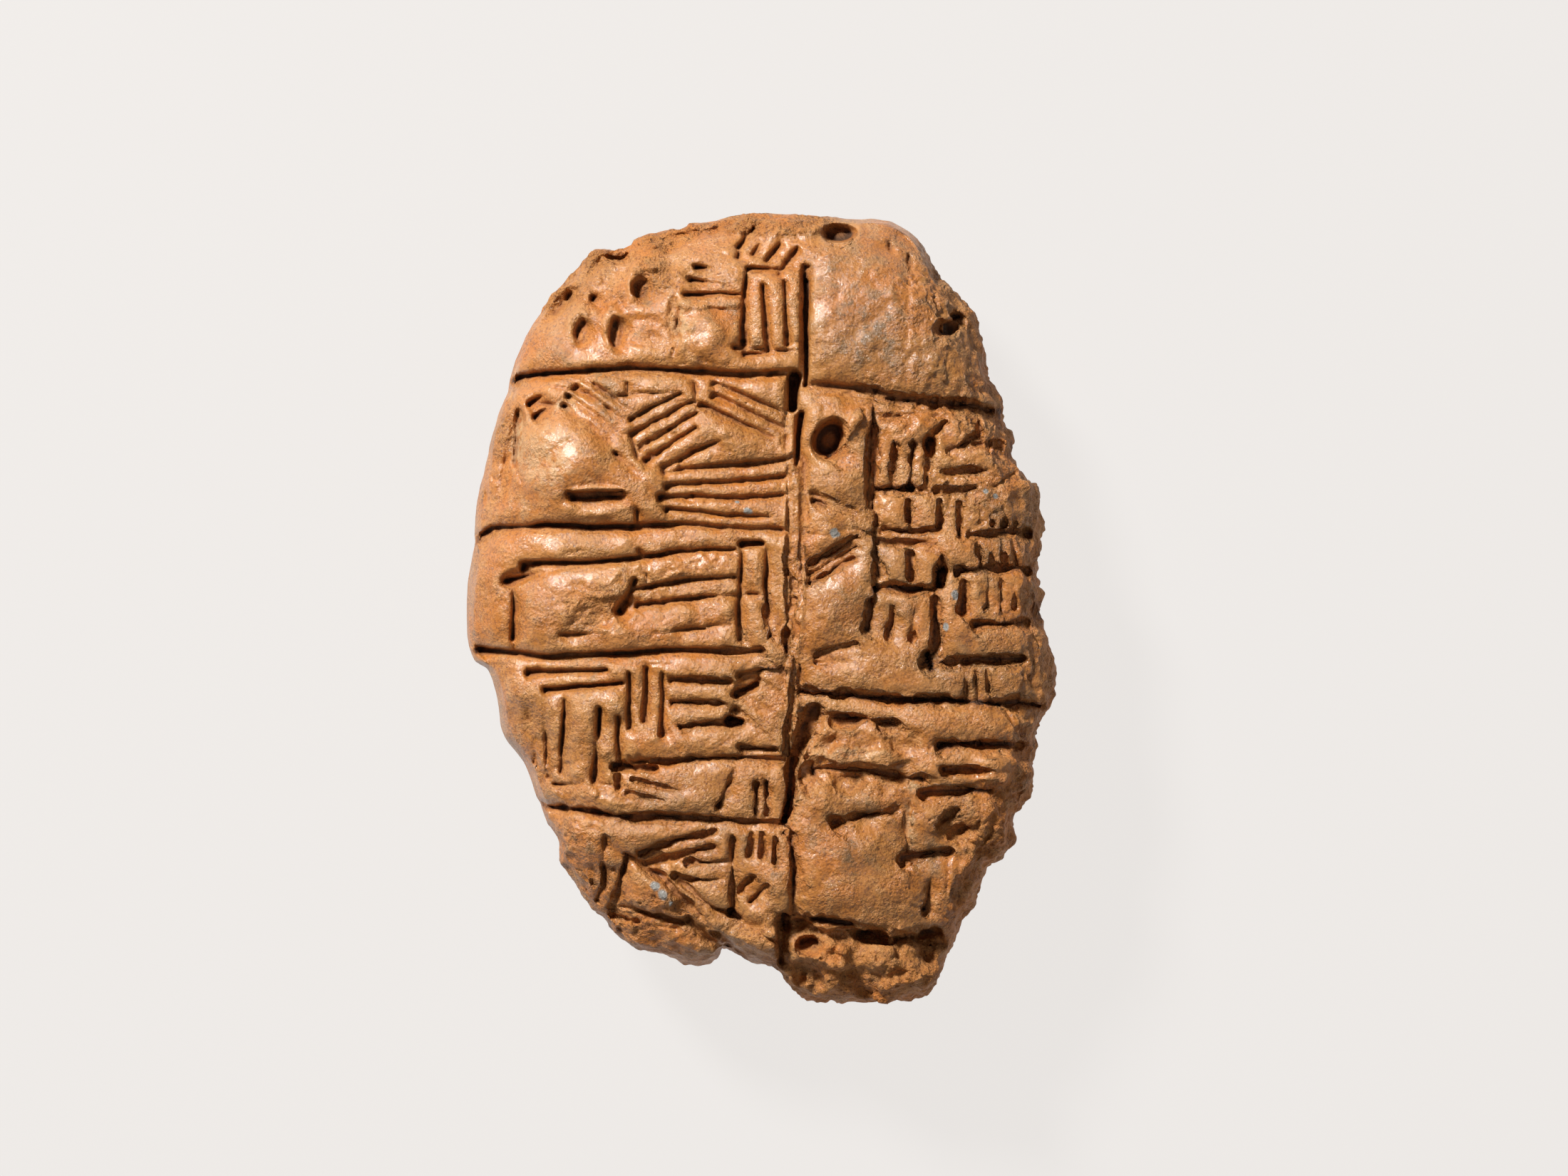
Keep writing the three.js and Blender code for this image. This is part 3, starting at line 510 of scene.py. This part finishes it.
# %% Scratches with a place
SCRATCHES = [
    ([(12.4, 28), (12.3, 23), (12.1, 18)], 0.35, 0.10),
    ([(15.5, 20.7), (15.3, 18)], 0.3, 0.12),
    ([(10, 16.2), (14, 16.2), (18, 15.7)], 0.4, 0.16),
    ([(-6.8, 25), (-7.1, 23.4), (-6.9, 22.2), (-7.3, 21.3)], 0.5, 0.5),
    ([(12.7, -16), (12.4, -18), (12.6, -21)], 0.5, 0.2),
    ([(-8, -1.4), (-5.6, -0.7), (-4.4, -0.8)], 0.3, 0.1),
    ([(5.8, -17.6), (7.5, -18.2), (9.5, -17.5), (11.5, -17)], 0.45, 0.35),
    ([(-17.5, 18.7), (-15, 18.2), (-12.6, 18.5)], 0.5, 0.3),
    ([(20.7, -8.7), (22.4, -11.2)], 0.5, 0.4),
]
for path, width, depth in SCRATCHES:
    relief = relief - depth * sample(line(path, width), warp_x, warp_y)
print("scratches with a place:", len(SCRATCHES))

# %% [markdown]
# ## Pocks, crumbs and creases
# Bubbles and grains of sand leave pocks, a stylus tears crumbs from the edges of a stroke,
# and drying opens creases. There are too many to place by hand. Pocks are single dots,
# blurred. Crumbs are the high parts of a fine grain, kept to the torn edges, and creases are
# where a broad grain passes through zero.

# %% Pocks, crumbs and creases
def pocks(seed, count, reach):
    rng = np.random.default_rng(seed)
    dots = np.zeros(grid_x.shape)
    dots[rng.integers(0, len(ys), count), rng.integers(0, len(xs), count)] = 1
    return np.clip(blur(dots, reach) * 2 * math.pi * (reach / STEP) ** 2, 0, 1.4)


CRUMB_DEPTH = 0.4
CREASE_DEPTH = 0.2
torn = ramp(blur(pressed, 0.35), 0.05, 0.4)
crumbs = ramp(grain(24, 0.2), 0.5, 1.6) * ramp(grain(25, 2.4), -0.6, 0.6)
relief = relief - CRUMB_DEPTH * torn * crumbs
creases = 1 - ramp(np.abs(grain(26, 1.1)), 0.0, 0.12)
near_strokes = ramp(blur(pressed, 1.2), 0.05, 0.2)
relief = relief - CREASE_DEPTH * creases * ramp(grain(27, 2.5), 0.0, 0.9) * near_strokes
relief = relief - (0.08 + 0.1 * rough) * pocks(21, 1800, 0.11)
relief = relief - (0.02 + 0.25 * rough) * pocks(22, 260, 0.3)
print("torn share of the face:", round(float((torn * inside).sum() / inside.sum()), 2))

# %% [markdown]
# ## Crumbled clay and the grain of the lands
# Broken clay is made of rounded crumbs with sharp creases between them, which is what the
# size of a grain without its sign looks like. The lands only roll a little, and a fine grain
# lies over everything.

# %% Crumbled clay and grain
crumbled = np.abs(grain(28, 0.45)) + 0.8 * np.abs(grain(29, 0.16)) - 1.2
pitted = np.clip(rough + 0.55 * ramp(grain(31, 2.6), 0.5, 1.3) + 0.25 * torn, 0, 1)
relief = relief + pitted * 0.17 * crumbled + rough * 0.2 * grain(30, 1.0)
relief = relief + land / HIGHEST_LAND * (0.2 * grain(6, 2.0) + 0.09 * grain(7, 0.7))
relief = relief + 0.035 * grain(8, 0.22) + 0.012 * grain(32, 0.1)
print("pitted share of the face:", round(float((pitted * inside).sum() / inside.sum()), 2))

# %% [markdown]
# ## Scratches by chance
# These are the small scratches of a long life: thin, shallow, a few millimetres long, and
# mostly slanting the same way. The seed keeps them the same each time.

# %% Scratches by chance
CHANCE_SCRATCHES = 70
rng = np.random.default_rng(40)
for _ in range(CHANCE_SCRATCHES):
    x, y = rng.uniform(-24, 24), rng.uniform(-33, 33)
    turn, length = rng.uniform(-0.6, 1.2), rng.uniform(1.2, 4.5)
    end = (x + length * math.cos(turn), y + length * math.sin(turn))
    scratch = sample(line([(x, y), end], rng.uniform(0.22, 0.4)), warp_x, warp_y)
    relief = relief - rng.uniform(0.06, 0.16) * scratch
print("relief over the skin, mm:", np.percentile((relief - skin)[inside > 0], (1, 50, 99)).round(2))

# %% [markdown]
# ## Small even squares
# Clay needs points everywhere, not only along edges. Subdividing would keep the long thin
# triangles of the CAD. A voxel remesh makes small even squares instead, and some passes of
# smoothing take the edges off the facets of the sides and the back.

# %% Remesh and smooth
VOXEL = 0.135 * MM
SMOOTHING_PASSES = 30
apply_modifier(clay, "REMESH", mode="VOXEL", voxel_size=VOXEL)
apply_modifier(clay, "SMOOTH", factor=0.5, iterations=SMOOTHING_PASSES)
print("remeshed:", len(clay.data.vertices), "points")

# %% [markdown]
# ## Taking the relief over to the mesh
# Points on the face take the height of the map, as a displacement would set them. Towards
# the steep rim the map hands over to the remeshed sides, so that nothing is stretched.

# %% Lift the points of the face
def read_points(piece):
    flat = np.zeros(len(piece.data.vertices) * 3)
    piece.data.vertices.foreach_get("co", flat)
    return flat.reshape(-1, 3) / MM


def read_normals(piece):
    flat = np.zeros(len(piece.data.vertices) * 3)
    piece.data.vertex_normals.foreach_get("vector", flat)
    return flat.reshape(-1, 3)


def put_points(piece, points):
    piece.data.vertices.foreach_set("co", (points * MM).ravel())
    piece.data.update()


RIM = (0.7, 0.97)
STEEP_TO_LEVEL = (0.28, 0.5)
UNDER_SKIN = (-3.4, -2.6)
slope_y, slope_x = np.gradient(blur_inside(skin, 0.5), STEP)
level = 1 / np.sqrt(1 + slope_x**2 + slope_y**2)
rim = ramp(blur(inside, 0.7), *RIM)
points = read_points(clay)
x, y, z = points.T
on_face = ramp(sample(level * rim, x, y), *STEEP_TO_LEVEL)
near_top = ramp(z - sample(skin, x, y), *UNDER_SKIN)
lifted = on_face * near_top
points[:, 2] = z + lifted * (sample(relief, x, y) - z)
put_points(clay, points)
print("points on the face:", int((lifted > 0.5).sum()))

# %% [markdown]
# ## A noise in space
# Broken clay is lumpy at every size, and a map of heights can't show that on a steep side.
# It takes a noise that fills space: seeded numbers on a lattice, blended between its eight
# corners. It repeats after 32 of its own steps, which no eye finds on a rough break.

# %% Lumps in space
LATTICE = 32
OFF_CENTRE = 1000.37


def lumps(points, size, seed):
    lattice = np.random.default_rng(seed).standard_normal((LATTICE, LATTICE, LATTICE))
    place = points / size + OFF_CENTRE
    cell = np.floor(place).astype(int)
    part = place - cell
    part = part * part * (3 - 2 * part)
    total = np.zeros(len(points))
    for corner in np.ndindex(2, 2, 2):
        weight = np.ones(len(points))
        for axis in range(3):
            weight *= part[:, axis] if corner[axis] else 1 - part[:, axis]
        at = (cell + corner) % LATTICE
        total += weight * lattice[at[:, 0], at[:, 1], at[:, 2]]
    return total


print("lumps 1.9 mm wide repeat after, mm:", round(1.9 * LATTICE, 1))

# %% [markdown]
# ## Breaks, sides and back
# The right side and the foot are broken off and coarse, and the lower left is chipped. The
# edge at the left and the top and the back are still the smooth skin of the clay. A Displace
# modifier could move them all by one texture. Here each point moves along its own normal by
# its own share, the breaks much more than the old edge.

# %% Move points along their normals
def broken_side(points, normals):
    """1 on the broken right side and foot, 0 on the old edge and the back."""
    degrees = np.degrees(np.arctan2(points[:, 1], points[:, 0]))
    foot_and_right = ramp(degrees, -98, -84)
    lower_left = 0.6 * ramp(degrees, -142, -128)
    old_top = ramp(degrees, 58, 74)
    side = np.maximum(foot_and_right, lower_left) * (1 - old_top)
    steep = 1 - ramp(np.abs(normals[:, 2]), 0.55, 0.85)
    return side * steep * ramp(points[:, 2], 0.5, 2)


CREASED = 0.16
PULLED_IN = 0.12
points = read_points(clay)
normals = read_normals(clay)
top_rough = sample(rough, points[:, 0], points[:, 1]) * ramp(normals[:, 2], -0.1, 0.3)
coarse = np.maximum(top_rough, 0.9 * broken_side(points, normals))
plain = (1 - coarse) * ramp(points[:, 2], 0.2, 1.6) * (1 - lifted)
coarse_lumps = 0.26 * lumps(points, 1.9, 31) + 0.13 * lumps(points, 0.8, 32)
coarse_lumps = coarse_lumps + 0.08 * lumps(points, 0.42, 33)
push = coarse * coarse_lumps
push = push - CREASED * coarse * np.abs(lumps(points, 1.1, 34))
plain_lumps = 0.10 * lumps(points, 3.2, 35) + 0.035 * lumps(points, 0.9, 36)
push = push + plain * plain_lumps
push = push - PULLED_IN * plain
points = points + normals * push[:, None]
points[:, 2] = np.maximum(points[:, 2], 0)
put_points(clay, points)
print("rough points:", int((coarse > 0.3).sum()))

# %% [markdown]
# ## Thinning the mesh
# Flat stretches don't need the points that the strokes need. A coarser remesh would be light
# enough too, but would blunt every stroke. Decimate keeps the shape and brings the piece
# under its limit of triangles.

# %% Decimate
MOST_TRIANGLES = 197000


def count_triangles(piece):
    return sum(len(side.vertices) - 2 for side in piece.data.polygons)


triangles = count_triangles(clay)
apply_modifier(clay, "DECIMATE", ratio=min(1, MOST_TRIANGLES / triangles))
only(clay)
bpy.ops.object.shade_smooth()
print("triangles, before and after:", triangles, count_triangles(clay))

# %% [markdown]
# ## What the finish needs to know
# The hollows get painted shade and the ridges are made paler, partly as wear and partly as a
# painted highlight, and breaks are dull. A hollow is read from the map as the difference
# between the relief and its own blur. Hollow and rough are kept on the mesh as attributes,
# which a material can read at each point.

# %% Hollows and rough places
def keep(piece, name, values):
    layer = piece.data.attributes.new(name, "FLOAT", "POINT")
    layer.data.foreach_set("value", np.ascontiguousarray(values, dtype=np.float32))


lift = (relief - skin) * inside
hollow = blur_inside(lift, 0.7) - lift
points = read_points(clay)
normals = read_normals(clay)
x, y, z = points.T
up = ramp(normals[:, 2], 0.05, 0.35) * ramp(z - sample(relief, x, y), -2, -1)
# The hollow attribute steers painted shade in the hollows and a partly painted highlight on the ridges.
keep(clay, "hollow", up * sample(hollow * (1 - 0.7 * rough), x, y))
rough_here = np.maximum(sample(rough, x, y) * up, 0.9 * broken_side(points, normals))
keep(clay, "rough", np.maximum(rough_here, 0.6 * (1 - up)))
print("hollow, mm:", np.percentile(sample(hollow, x, y), (1, 50, 99)).round(2))

# %% [markdown]
# ## Stains with a place
# Grey-brown mottles lie on the blank block and in a few other places, and there are some pale
# marks. A noise alone can't put them there, so both are lists of soft ovals, kept as
# attributes: place, half sizes, turn and strength.

# %% Soot and pale marks
def stains(places):
    total = np.zeros(grid_x.shape)
    for x, y, across, along, turn, amount in places:
        total = np.maximum(total, amount * patch(x, y, across, along, turn))
    return blur(sample(total, warp_x, warp_y), 0.2)


SOOT = [
    (11, 25, 8.5, 8, 0, 0.22), (9, 23.5, 3.2, 3.8, -30, 0.5), (6.5, 28.2, 1.8, 1.4, 0, 0.4),
    (12.5, 20.5, 2.4, 1.5, 0, 0.4), (8.2, -21.5, 1.5, 1.0, 0, 0.55), (14, -21, 1.6, 2.5, 0, 0.3),
    (-8, -16, 3, 2, 0, 0.2), (17, -5, 5, 3, 0, 0.2), (9.5, 2, 4.5, 4, 0, 0.2),
    (-3, -20, 3, 2, 0, 0.25), (-12.5, 17.6, 1.6, 0.8, 0, 0.4), (8.6, -17, 0.9, 0.8, 0, 0.6),
    (19.5, 6, 1.2, 4, 0, 0.35), (7.5, -20, 1.0, 0.7, 0, 0.4), (-18, -22, 1.5, 3, -35, 0.3),
]
PALE = [
    (-20.4, 14, 0.5, 2.4, -8, 0.8), (-16.4, 17, 0.9, 0.5, 0, 0.7), (12.8, -14.7, 0.6, 0.6, 0, 0.7),
    (12.6, -18.3, 0.3, 2.6, 2, 0.7), (7.7, -12.2, 3.5, 0.6, 0, 0.4), (-17.5, 12.5, 2.8, 2.6, 0, 0.4),
    (-6.5, 24, 1.0, 2.0, 0, 0.5), (-20, 8, 0.6, 2, 0, 0.3),
]
keep(clay, "soot", up * sample(stains(SOOT), x, y))
keep(clay, "pale", up * sample(stains(PALE), x, y))
print("stained places:", len(SOOT), "dark and", len(PALE), "pale")

# %% [markdown]
# ## A way to write materials
# A material is a tree of nodes. Linked one by one they take many lines, so a small class
# makes the few kinds that clay needs. Every pattern is a noise on object coordinates, which
# needs no unwrapped mesh and stays on the clay wherever it is put.

# %% Helpers for materials
def colour(red, green, blue):
    """A colour as it looks on screen, turned into the light values that shaders use."""
    return tuple(((c / 255 + 0.055) / 1.055) ** 2.4 for c in (red, green, blue)) + (1,)


class Finish:
    """A material being built, node by node."""

    def __init__(self, name):
        self.material = bpy.data.materials.new(name)
        self.material.use_nodes = True
        self.tree = self.material.node_tree
        self.shader = self.tree.nodes["Principled BSDF"]
        self.place = self.node("ShaderNodeTexCoord").outputs["Object"]

    def node(self, kind, **settings):
        made = self.tree.nodes.new(kind)
        for name, value in settings.items():
            setattr(made, name, value)
        return made

    def link(self, value, socket):
        if isinstance(value, bpy.types.NodeSocket):
            self.tree.links.new(value, socket)
        else:
            socket.default_value = value

    def noise(self, size, detail=3, roughness=0.55):
        made = self.node("ShaderNodeTexNoise")
        self.link(self.place, made.inputs["Vector"])
        made.inputs["Scale"].default_value = 1 / (size * MM)
        made.inputs["Detail"].default_value = detail
        made.inputs["Roughness"].default_value = roughness
        return made.outputs["Fac"]

    def attribute(self, name):
        return self.node("ShaderNodeAttribute", attribute_name=name).outputs["Fac"]

    def span(self, value, start, end, low=0.0, high=1.0):
        made = self.node("ShaderNodeMapRange", interpolation_type="SMOOTHSTEP")
        for socket, setting in zip(made.inputs, (value, start, end, low, high)):
            self.link(setting, socket)
        return made.outputs["Result"]

    def math(self, operation, a, b=0.0):
        made = self.node("ShaderNodeMath", operation=operation)
        self.link(a, made.inputs[0])
        self.link(b, made.inputs[1])
        return made.outputs[0]

    def mix(self, share, first, second):
        made = self.node("ShaderNodeMix", data_type="RGBA")
        self.link(share, made.inputs["Factor"])
        self.link(first, made.inputs["A"])
        self.link(second, made.inputs["B"])
        return made.outputs["Result"]

    def near(self, x, y, reach, uneven):
        """1 within reach of a place on the face, with an edge made uneven by a noise."""
        z = float(sample(relief, np.array([x]), np.array([y]))[0])
        away = self.node("ShaderNodeVectorMath", operation="DISTANCE")
        self.link(self.place, away.inputs[0])
        away.inputs[1].default_value = (x * MM, y * MM, z * MM)
        bent = self.math("ADD", away.outputs["Value"], self.math("MULTIPLY", uneven, reach * MM))
        return self.span(bent, 1.2 * reach * MM, 1.7 * reach * MM, 1.0, 0.0)

    def bumps(self, height, distance, socket):
        bump = self.node("ShaderNodeBump")
        bump.inputs["Distance"].default_value = distance * MM
        self.link(height, bump.inputs["Height"])
        self.link(bump.outputs["Normal"], self.shader.inputs[socket])


print("a middle grey on screen, as light:", round(colour(128, 128, 128)[0], 3))

# %% [markdown]
# ## The colour of the clay
# The clay is orange-brown with broad drifts of a redder and a paler tone, and speckled all
# over with fine dark grains. No single noise looks like that, so five of different sizes are
# laid over each other.

# %% Clay, drifts and grains
MID = colour(182, 120, 57)
ORANGE = colour(186, 113, 44)
# The tan colours paler drifts here, and further down the ridges, partly as wear and partly as a painted
# highlight.
TAN_AND_HIGHLIGHT = colour(200, 146, 88)
# The two darks below colour fine grains here, and further down also serve as painted shade in the
# hollows.
DUST_AND_SHADE = colour(128, 75, 38)
DARK_GRAIN_AND_SHADE = colour(52, 26, 11)

finish = Finish("clay")
ground = finish.mix(finish.span(finish.noise(6), 0.36, 0.64), MID, ORANGE)
ground = finish.mix(finish.span(finish.noise(1.3), 0.45, 0.7, 0, 0.5), ground, TAN_AND_HIGHLIGHT)
ground = finish.mix(finish.span(finish.noise(0.4, 5, 0.75), 0.5, 0.64, 0, 0.45), ground, DUST_AND_SHADE)
ground = finish.mix(finish.span(finish.noise(0.22, 2), 0.5, 0.68, 0, 0.75), ground, DUST_AND_SHADE)
ground = finish.mix(finish.span(finish.noise(0.28, 2), 0.68, 0.74, 0, 0.75), ground, DARK_GRAIN_AND_SHADE)
print("colour of the clay:", len(finish.tree.nodes), "nodes")

# %% [markdown]
# ## Wear, painted highlight, painted shade and stains
# Ridges are made paler, partly as wear and partly as a painted highlight, and the hollows
# are painted darker as shade, down to dark brown at the bottom of the strokes. Soot lies
# where its attribute says, in mottles, and a little of it anywhere.

# %% Wear, painted highlight, painted shade and stains
CREAM = colour(204, 172, 128)
GREY = colour(92, 74, 48)
pale = finish.math("MULTIPLY", finish.attribute("pale"), finish.span(finish.noise(0.7, 3), 0.35, 0.6))
ground = finish.mix(pale, ground, CREAM)
hollow_here = finish.attribute("hollow")
# Ridges, where the hollow falls below zero, turn tan: partly wear, partly a painted highlight.
ground = finish.mix(finish.span(hollow_here, -0.06, -0.35, 0, 0.35), ground, TAN_AND_HIGHLIGHT)
# Hollows turn dust brown: painted shade.
ground = finish.mix(finish.span(hollow_here, 0.17, 0.5, 0, 0.6), ground, DUST_AND_SHADE)
# The deepest hollows turn dark brown: painted shade at the bottom of the strokes.
ground = finish.mix(finish.span(hollow_here, 0.5, 1.0, 0, 0.88), ground, DARK_GRAIN_AND_SHADE)
mottle = finish.span(finish.noise(1.3, 4, 0.7), 0.47, 0.62, 0.5, 1.5)
loose_soot = finish.math("MULTIPLY", finish.span(finish.noise(2.6, 4, 0.7), 0.58, 0.68, 0, 0.4),
                         finish.span(finish.noise(14, 1), 0.45, 0.6))
soot = finish.math("MAXIMUM", finish.math("MULTIPLY", finish.attribute("soot"), mottle), loose_soot)
ground = finish.mix(soot, ground, GREY)
print("with wear and stains:", len(finish.tree.nodes), "nodes")

# %% [markdown]
# ## Blue-grey specks
# Small blue-grey spots sit in a few places, and the stuck chip at the lower left is as grey.
# They are only colour, so they aren't raised: each is a short reach round a place.

# %% Specks
SLATE = colour(146, 140, 131)
SPECKS = [
    (-1, 8, 0.4), (-1.9, 8.9, 0.2), (6.3, 6.3, 0.45), (16.4, 1.1, 0.4), (15.6, -1.6, 0.35),
    (19, 9.8, 0.25), (19.8, 9.4, 0.25), (-8.8, -23.4, 0.4), (-8.2, -24.2, 0.45), (-7.4, -25.0, 0.4),
]
uneven = finish.noise(0.5)
for x, y, reach in SPECKS:
    speck = finish.near(x, y, reach, uneven)
    ground = finish.mix(speck, ground, SLATE)
finish.link(ground, finish.shader.inputs["Base Color"])
print("specks:", len(SPECKS))

# %% [markdown]
# ## Shine and fine grain
# Handling has given the smooth clay a waxy shine that breaks up into small glints, and the
# breaks and hollows are dull. The wax is a coat over the clay, thinner where it is dull. Clay
# and coat each have a bump of their own, finer than the mesh, so the glints don't lie where
# the shading does.

# %% Shine and fine grain
dull = finish.math("MAXIMUM", finish.attribute("rough"), finish.span(hollow_here, 0.0, 0.3))
shine = finish.span(finish.noise(1.2), 0.3, 0.7, 0.38, 0.52)
roughness = finish.math("ADD", shine, finish.math("MULTIPLY", dull, 0.3))
finish.link(roughness, finish.shader.inputs["Roughness"])
finish.shader.inputs["Specular IOR Level"].default_value = 0.5
finish.link(finish.span(dull, 0.1, 0.9, 0.55, 0.06), finish.shader.inputs["Coat Weight"])
finish.shader.inputs["Coat Roughness"].default_value = 0.13

grit = finish.math("MULTIPLY", finish.noise(0.25, 2), 0.6)
fine = finish.math("ADD", finish.noise(0.5, 5, 0.65), grit)
worn = finish.span(finish.noise(2.6), 0.38, 0.62, 0.5, 1.2)
fine = finish.math("MULTIPLY", fine, worn)
fine = finish.math("MULTIPLY", fine, finish.span(finish.attribute("rough"), 0.1, 0.9, 1, 2.6))
finish.bumps(fine, 0.15, "Normal")
wax = finish.math("MULTIPLY", finish.noise(0.24, 3), worn)
finish.bumps(wax, 0.13, "Coat Normal")

clay.data.materials.clear()
clay.data.materials.append(finish.material)
print("the whole finish:", len(finish.tree.nodes), "nodes")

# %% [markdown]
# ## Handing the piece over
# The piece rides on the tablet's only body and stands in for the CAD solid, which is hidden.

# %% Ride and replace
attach(clay, "root")
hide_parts("tablet")
print("handed over:", clay.name)

# %% [markdown]
# ## Floor
# The tablet lies on a pale ground on which hardly a shadow shows. A sheet of glass with a
# light below it would look like that. A dark paper that glows is simpler: its colour comes
# from the glow, which no shadow can darken.

# %% Floor
bpy.ops.object.select_all(action="DESELECT")
bpy.ops.mesh.primitive_plane_add(size=2, location=(0, 0, 0))
floor = bpy.context.active_object
floor.name = "floor"
DARK_PAPER = (0.035, 0.034, 0.033, 1)
GLOW = (0.8, 0.77, 0.745, 1)
paper = Finish("paper")
paper.shader.inputs["Base Color"].default_value = DARK_PAPER
paper.shader.inputs["Roughness"].default_value = 0.9
paper.shader.inputs["Emission Color"].default_value = GLOW
paper.shader.inputs["Emission Strength"].default_value = 1.0
floor.data.materials.append(paper.material)
print("floor:", round(floor.dimensions.x, 1), "m wide")

# %% [markdown]
# ## Camera
# The camera looks straight down on the face through a long lens, so that the sides hardly
# show. Its distance follows from the width of the view at the height where the tablet is
# widest.

# %% Camera
LENS = 100
FRAME_WIDTH = 134.64 * MM
WIDEST_HEIGHT = 9 * MM
VIEW_X, VIEW_Y = 2.03 * MM, 1.67 * MM
camera_data = bpy.data.cameras.new("camera")
camera_data.lens = LENS
camera = bpy.data.objects.new("camera", camera_data)
distance = FRAME_WIDTH * LENS / camera_data.sensor_width
camera.location = (VIEW_X, VIEW_Y, WIDEST_HEIGHT + distance)
bpy.context.scene.collection.objects.link(camera)
bpy.context.scene.camera = camera
print("camera, m above the floor:", round(camera.location.z, 3))

# %% [markdown]
# ## Light
# One softbox stands at the upper left, as is usual for tablets, and throws the strokes into
# relief. A weak one opposite and a dim room keep the shade readable.

# %% Lights
def area_light(name, where, size, power):
    data = bpy.data.lights.new(name, "AREA")
    data.shape = "DISK"
    data.size = size
    data.energy = power
    lamp = bpy.data.objects.new(name, data)
    lamp.location = where
    lamp.rotation_euler = (-Vector(where)).to_track_quat("-Z", "Y").to_euler()
    bpy.context.scene.collection.objects.link(lamp)
    print(name, "stands", round(lamp.location.length, 2), "m away")


area_light("key", where=(-0.28, 0.36, 0.37), size=0.12, power=5.5)
area_light("fill", where=(0.35, -0.3, 0.7), size=0.6, power=0.65)
ROOM_COLOUR = (1, 0.98, 0.96, 1)
ROOM_STRENGTH = 0.1
world = bpy.data.worlds.new("room")
world.use_nodes = True
world.node_tree.nodes["Background"].inputs["Color"].default_value = ROOM_COLOUR
world.node_tree.nodes["Background"].inputs["Strength"].default_value = ROOM_STRENGTH
bpy.context.scene.world = world
bpy.context.scene.view_settings.view_transform = "Standard"
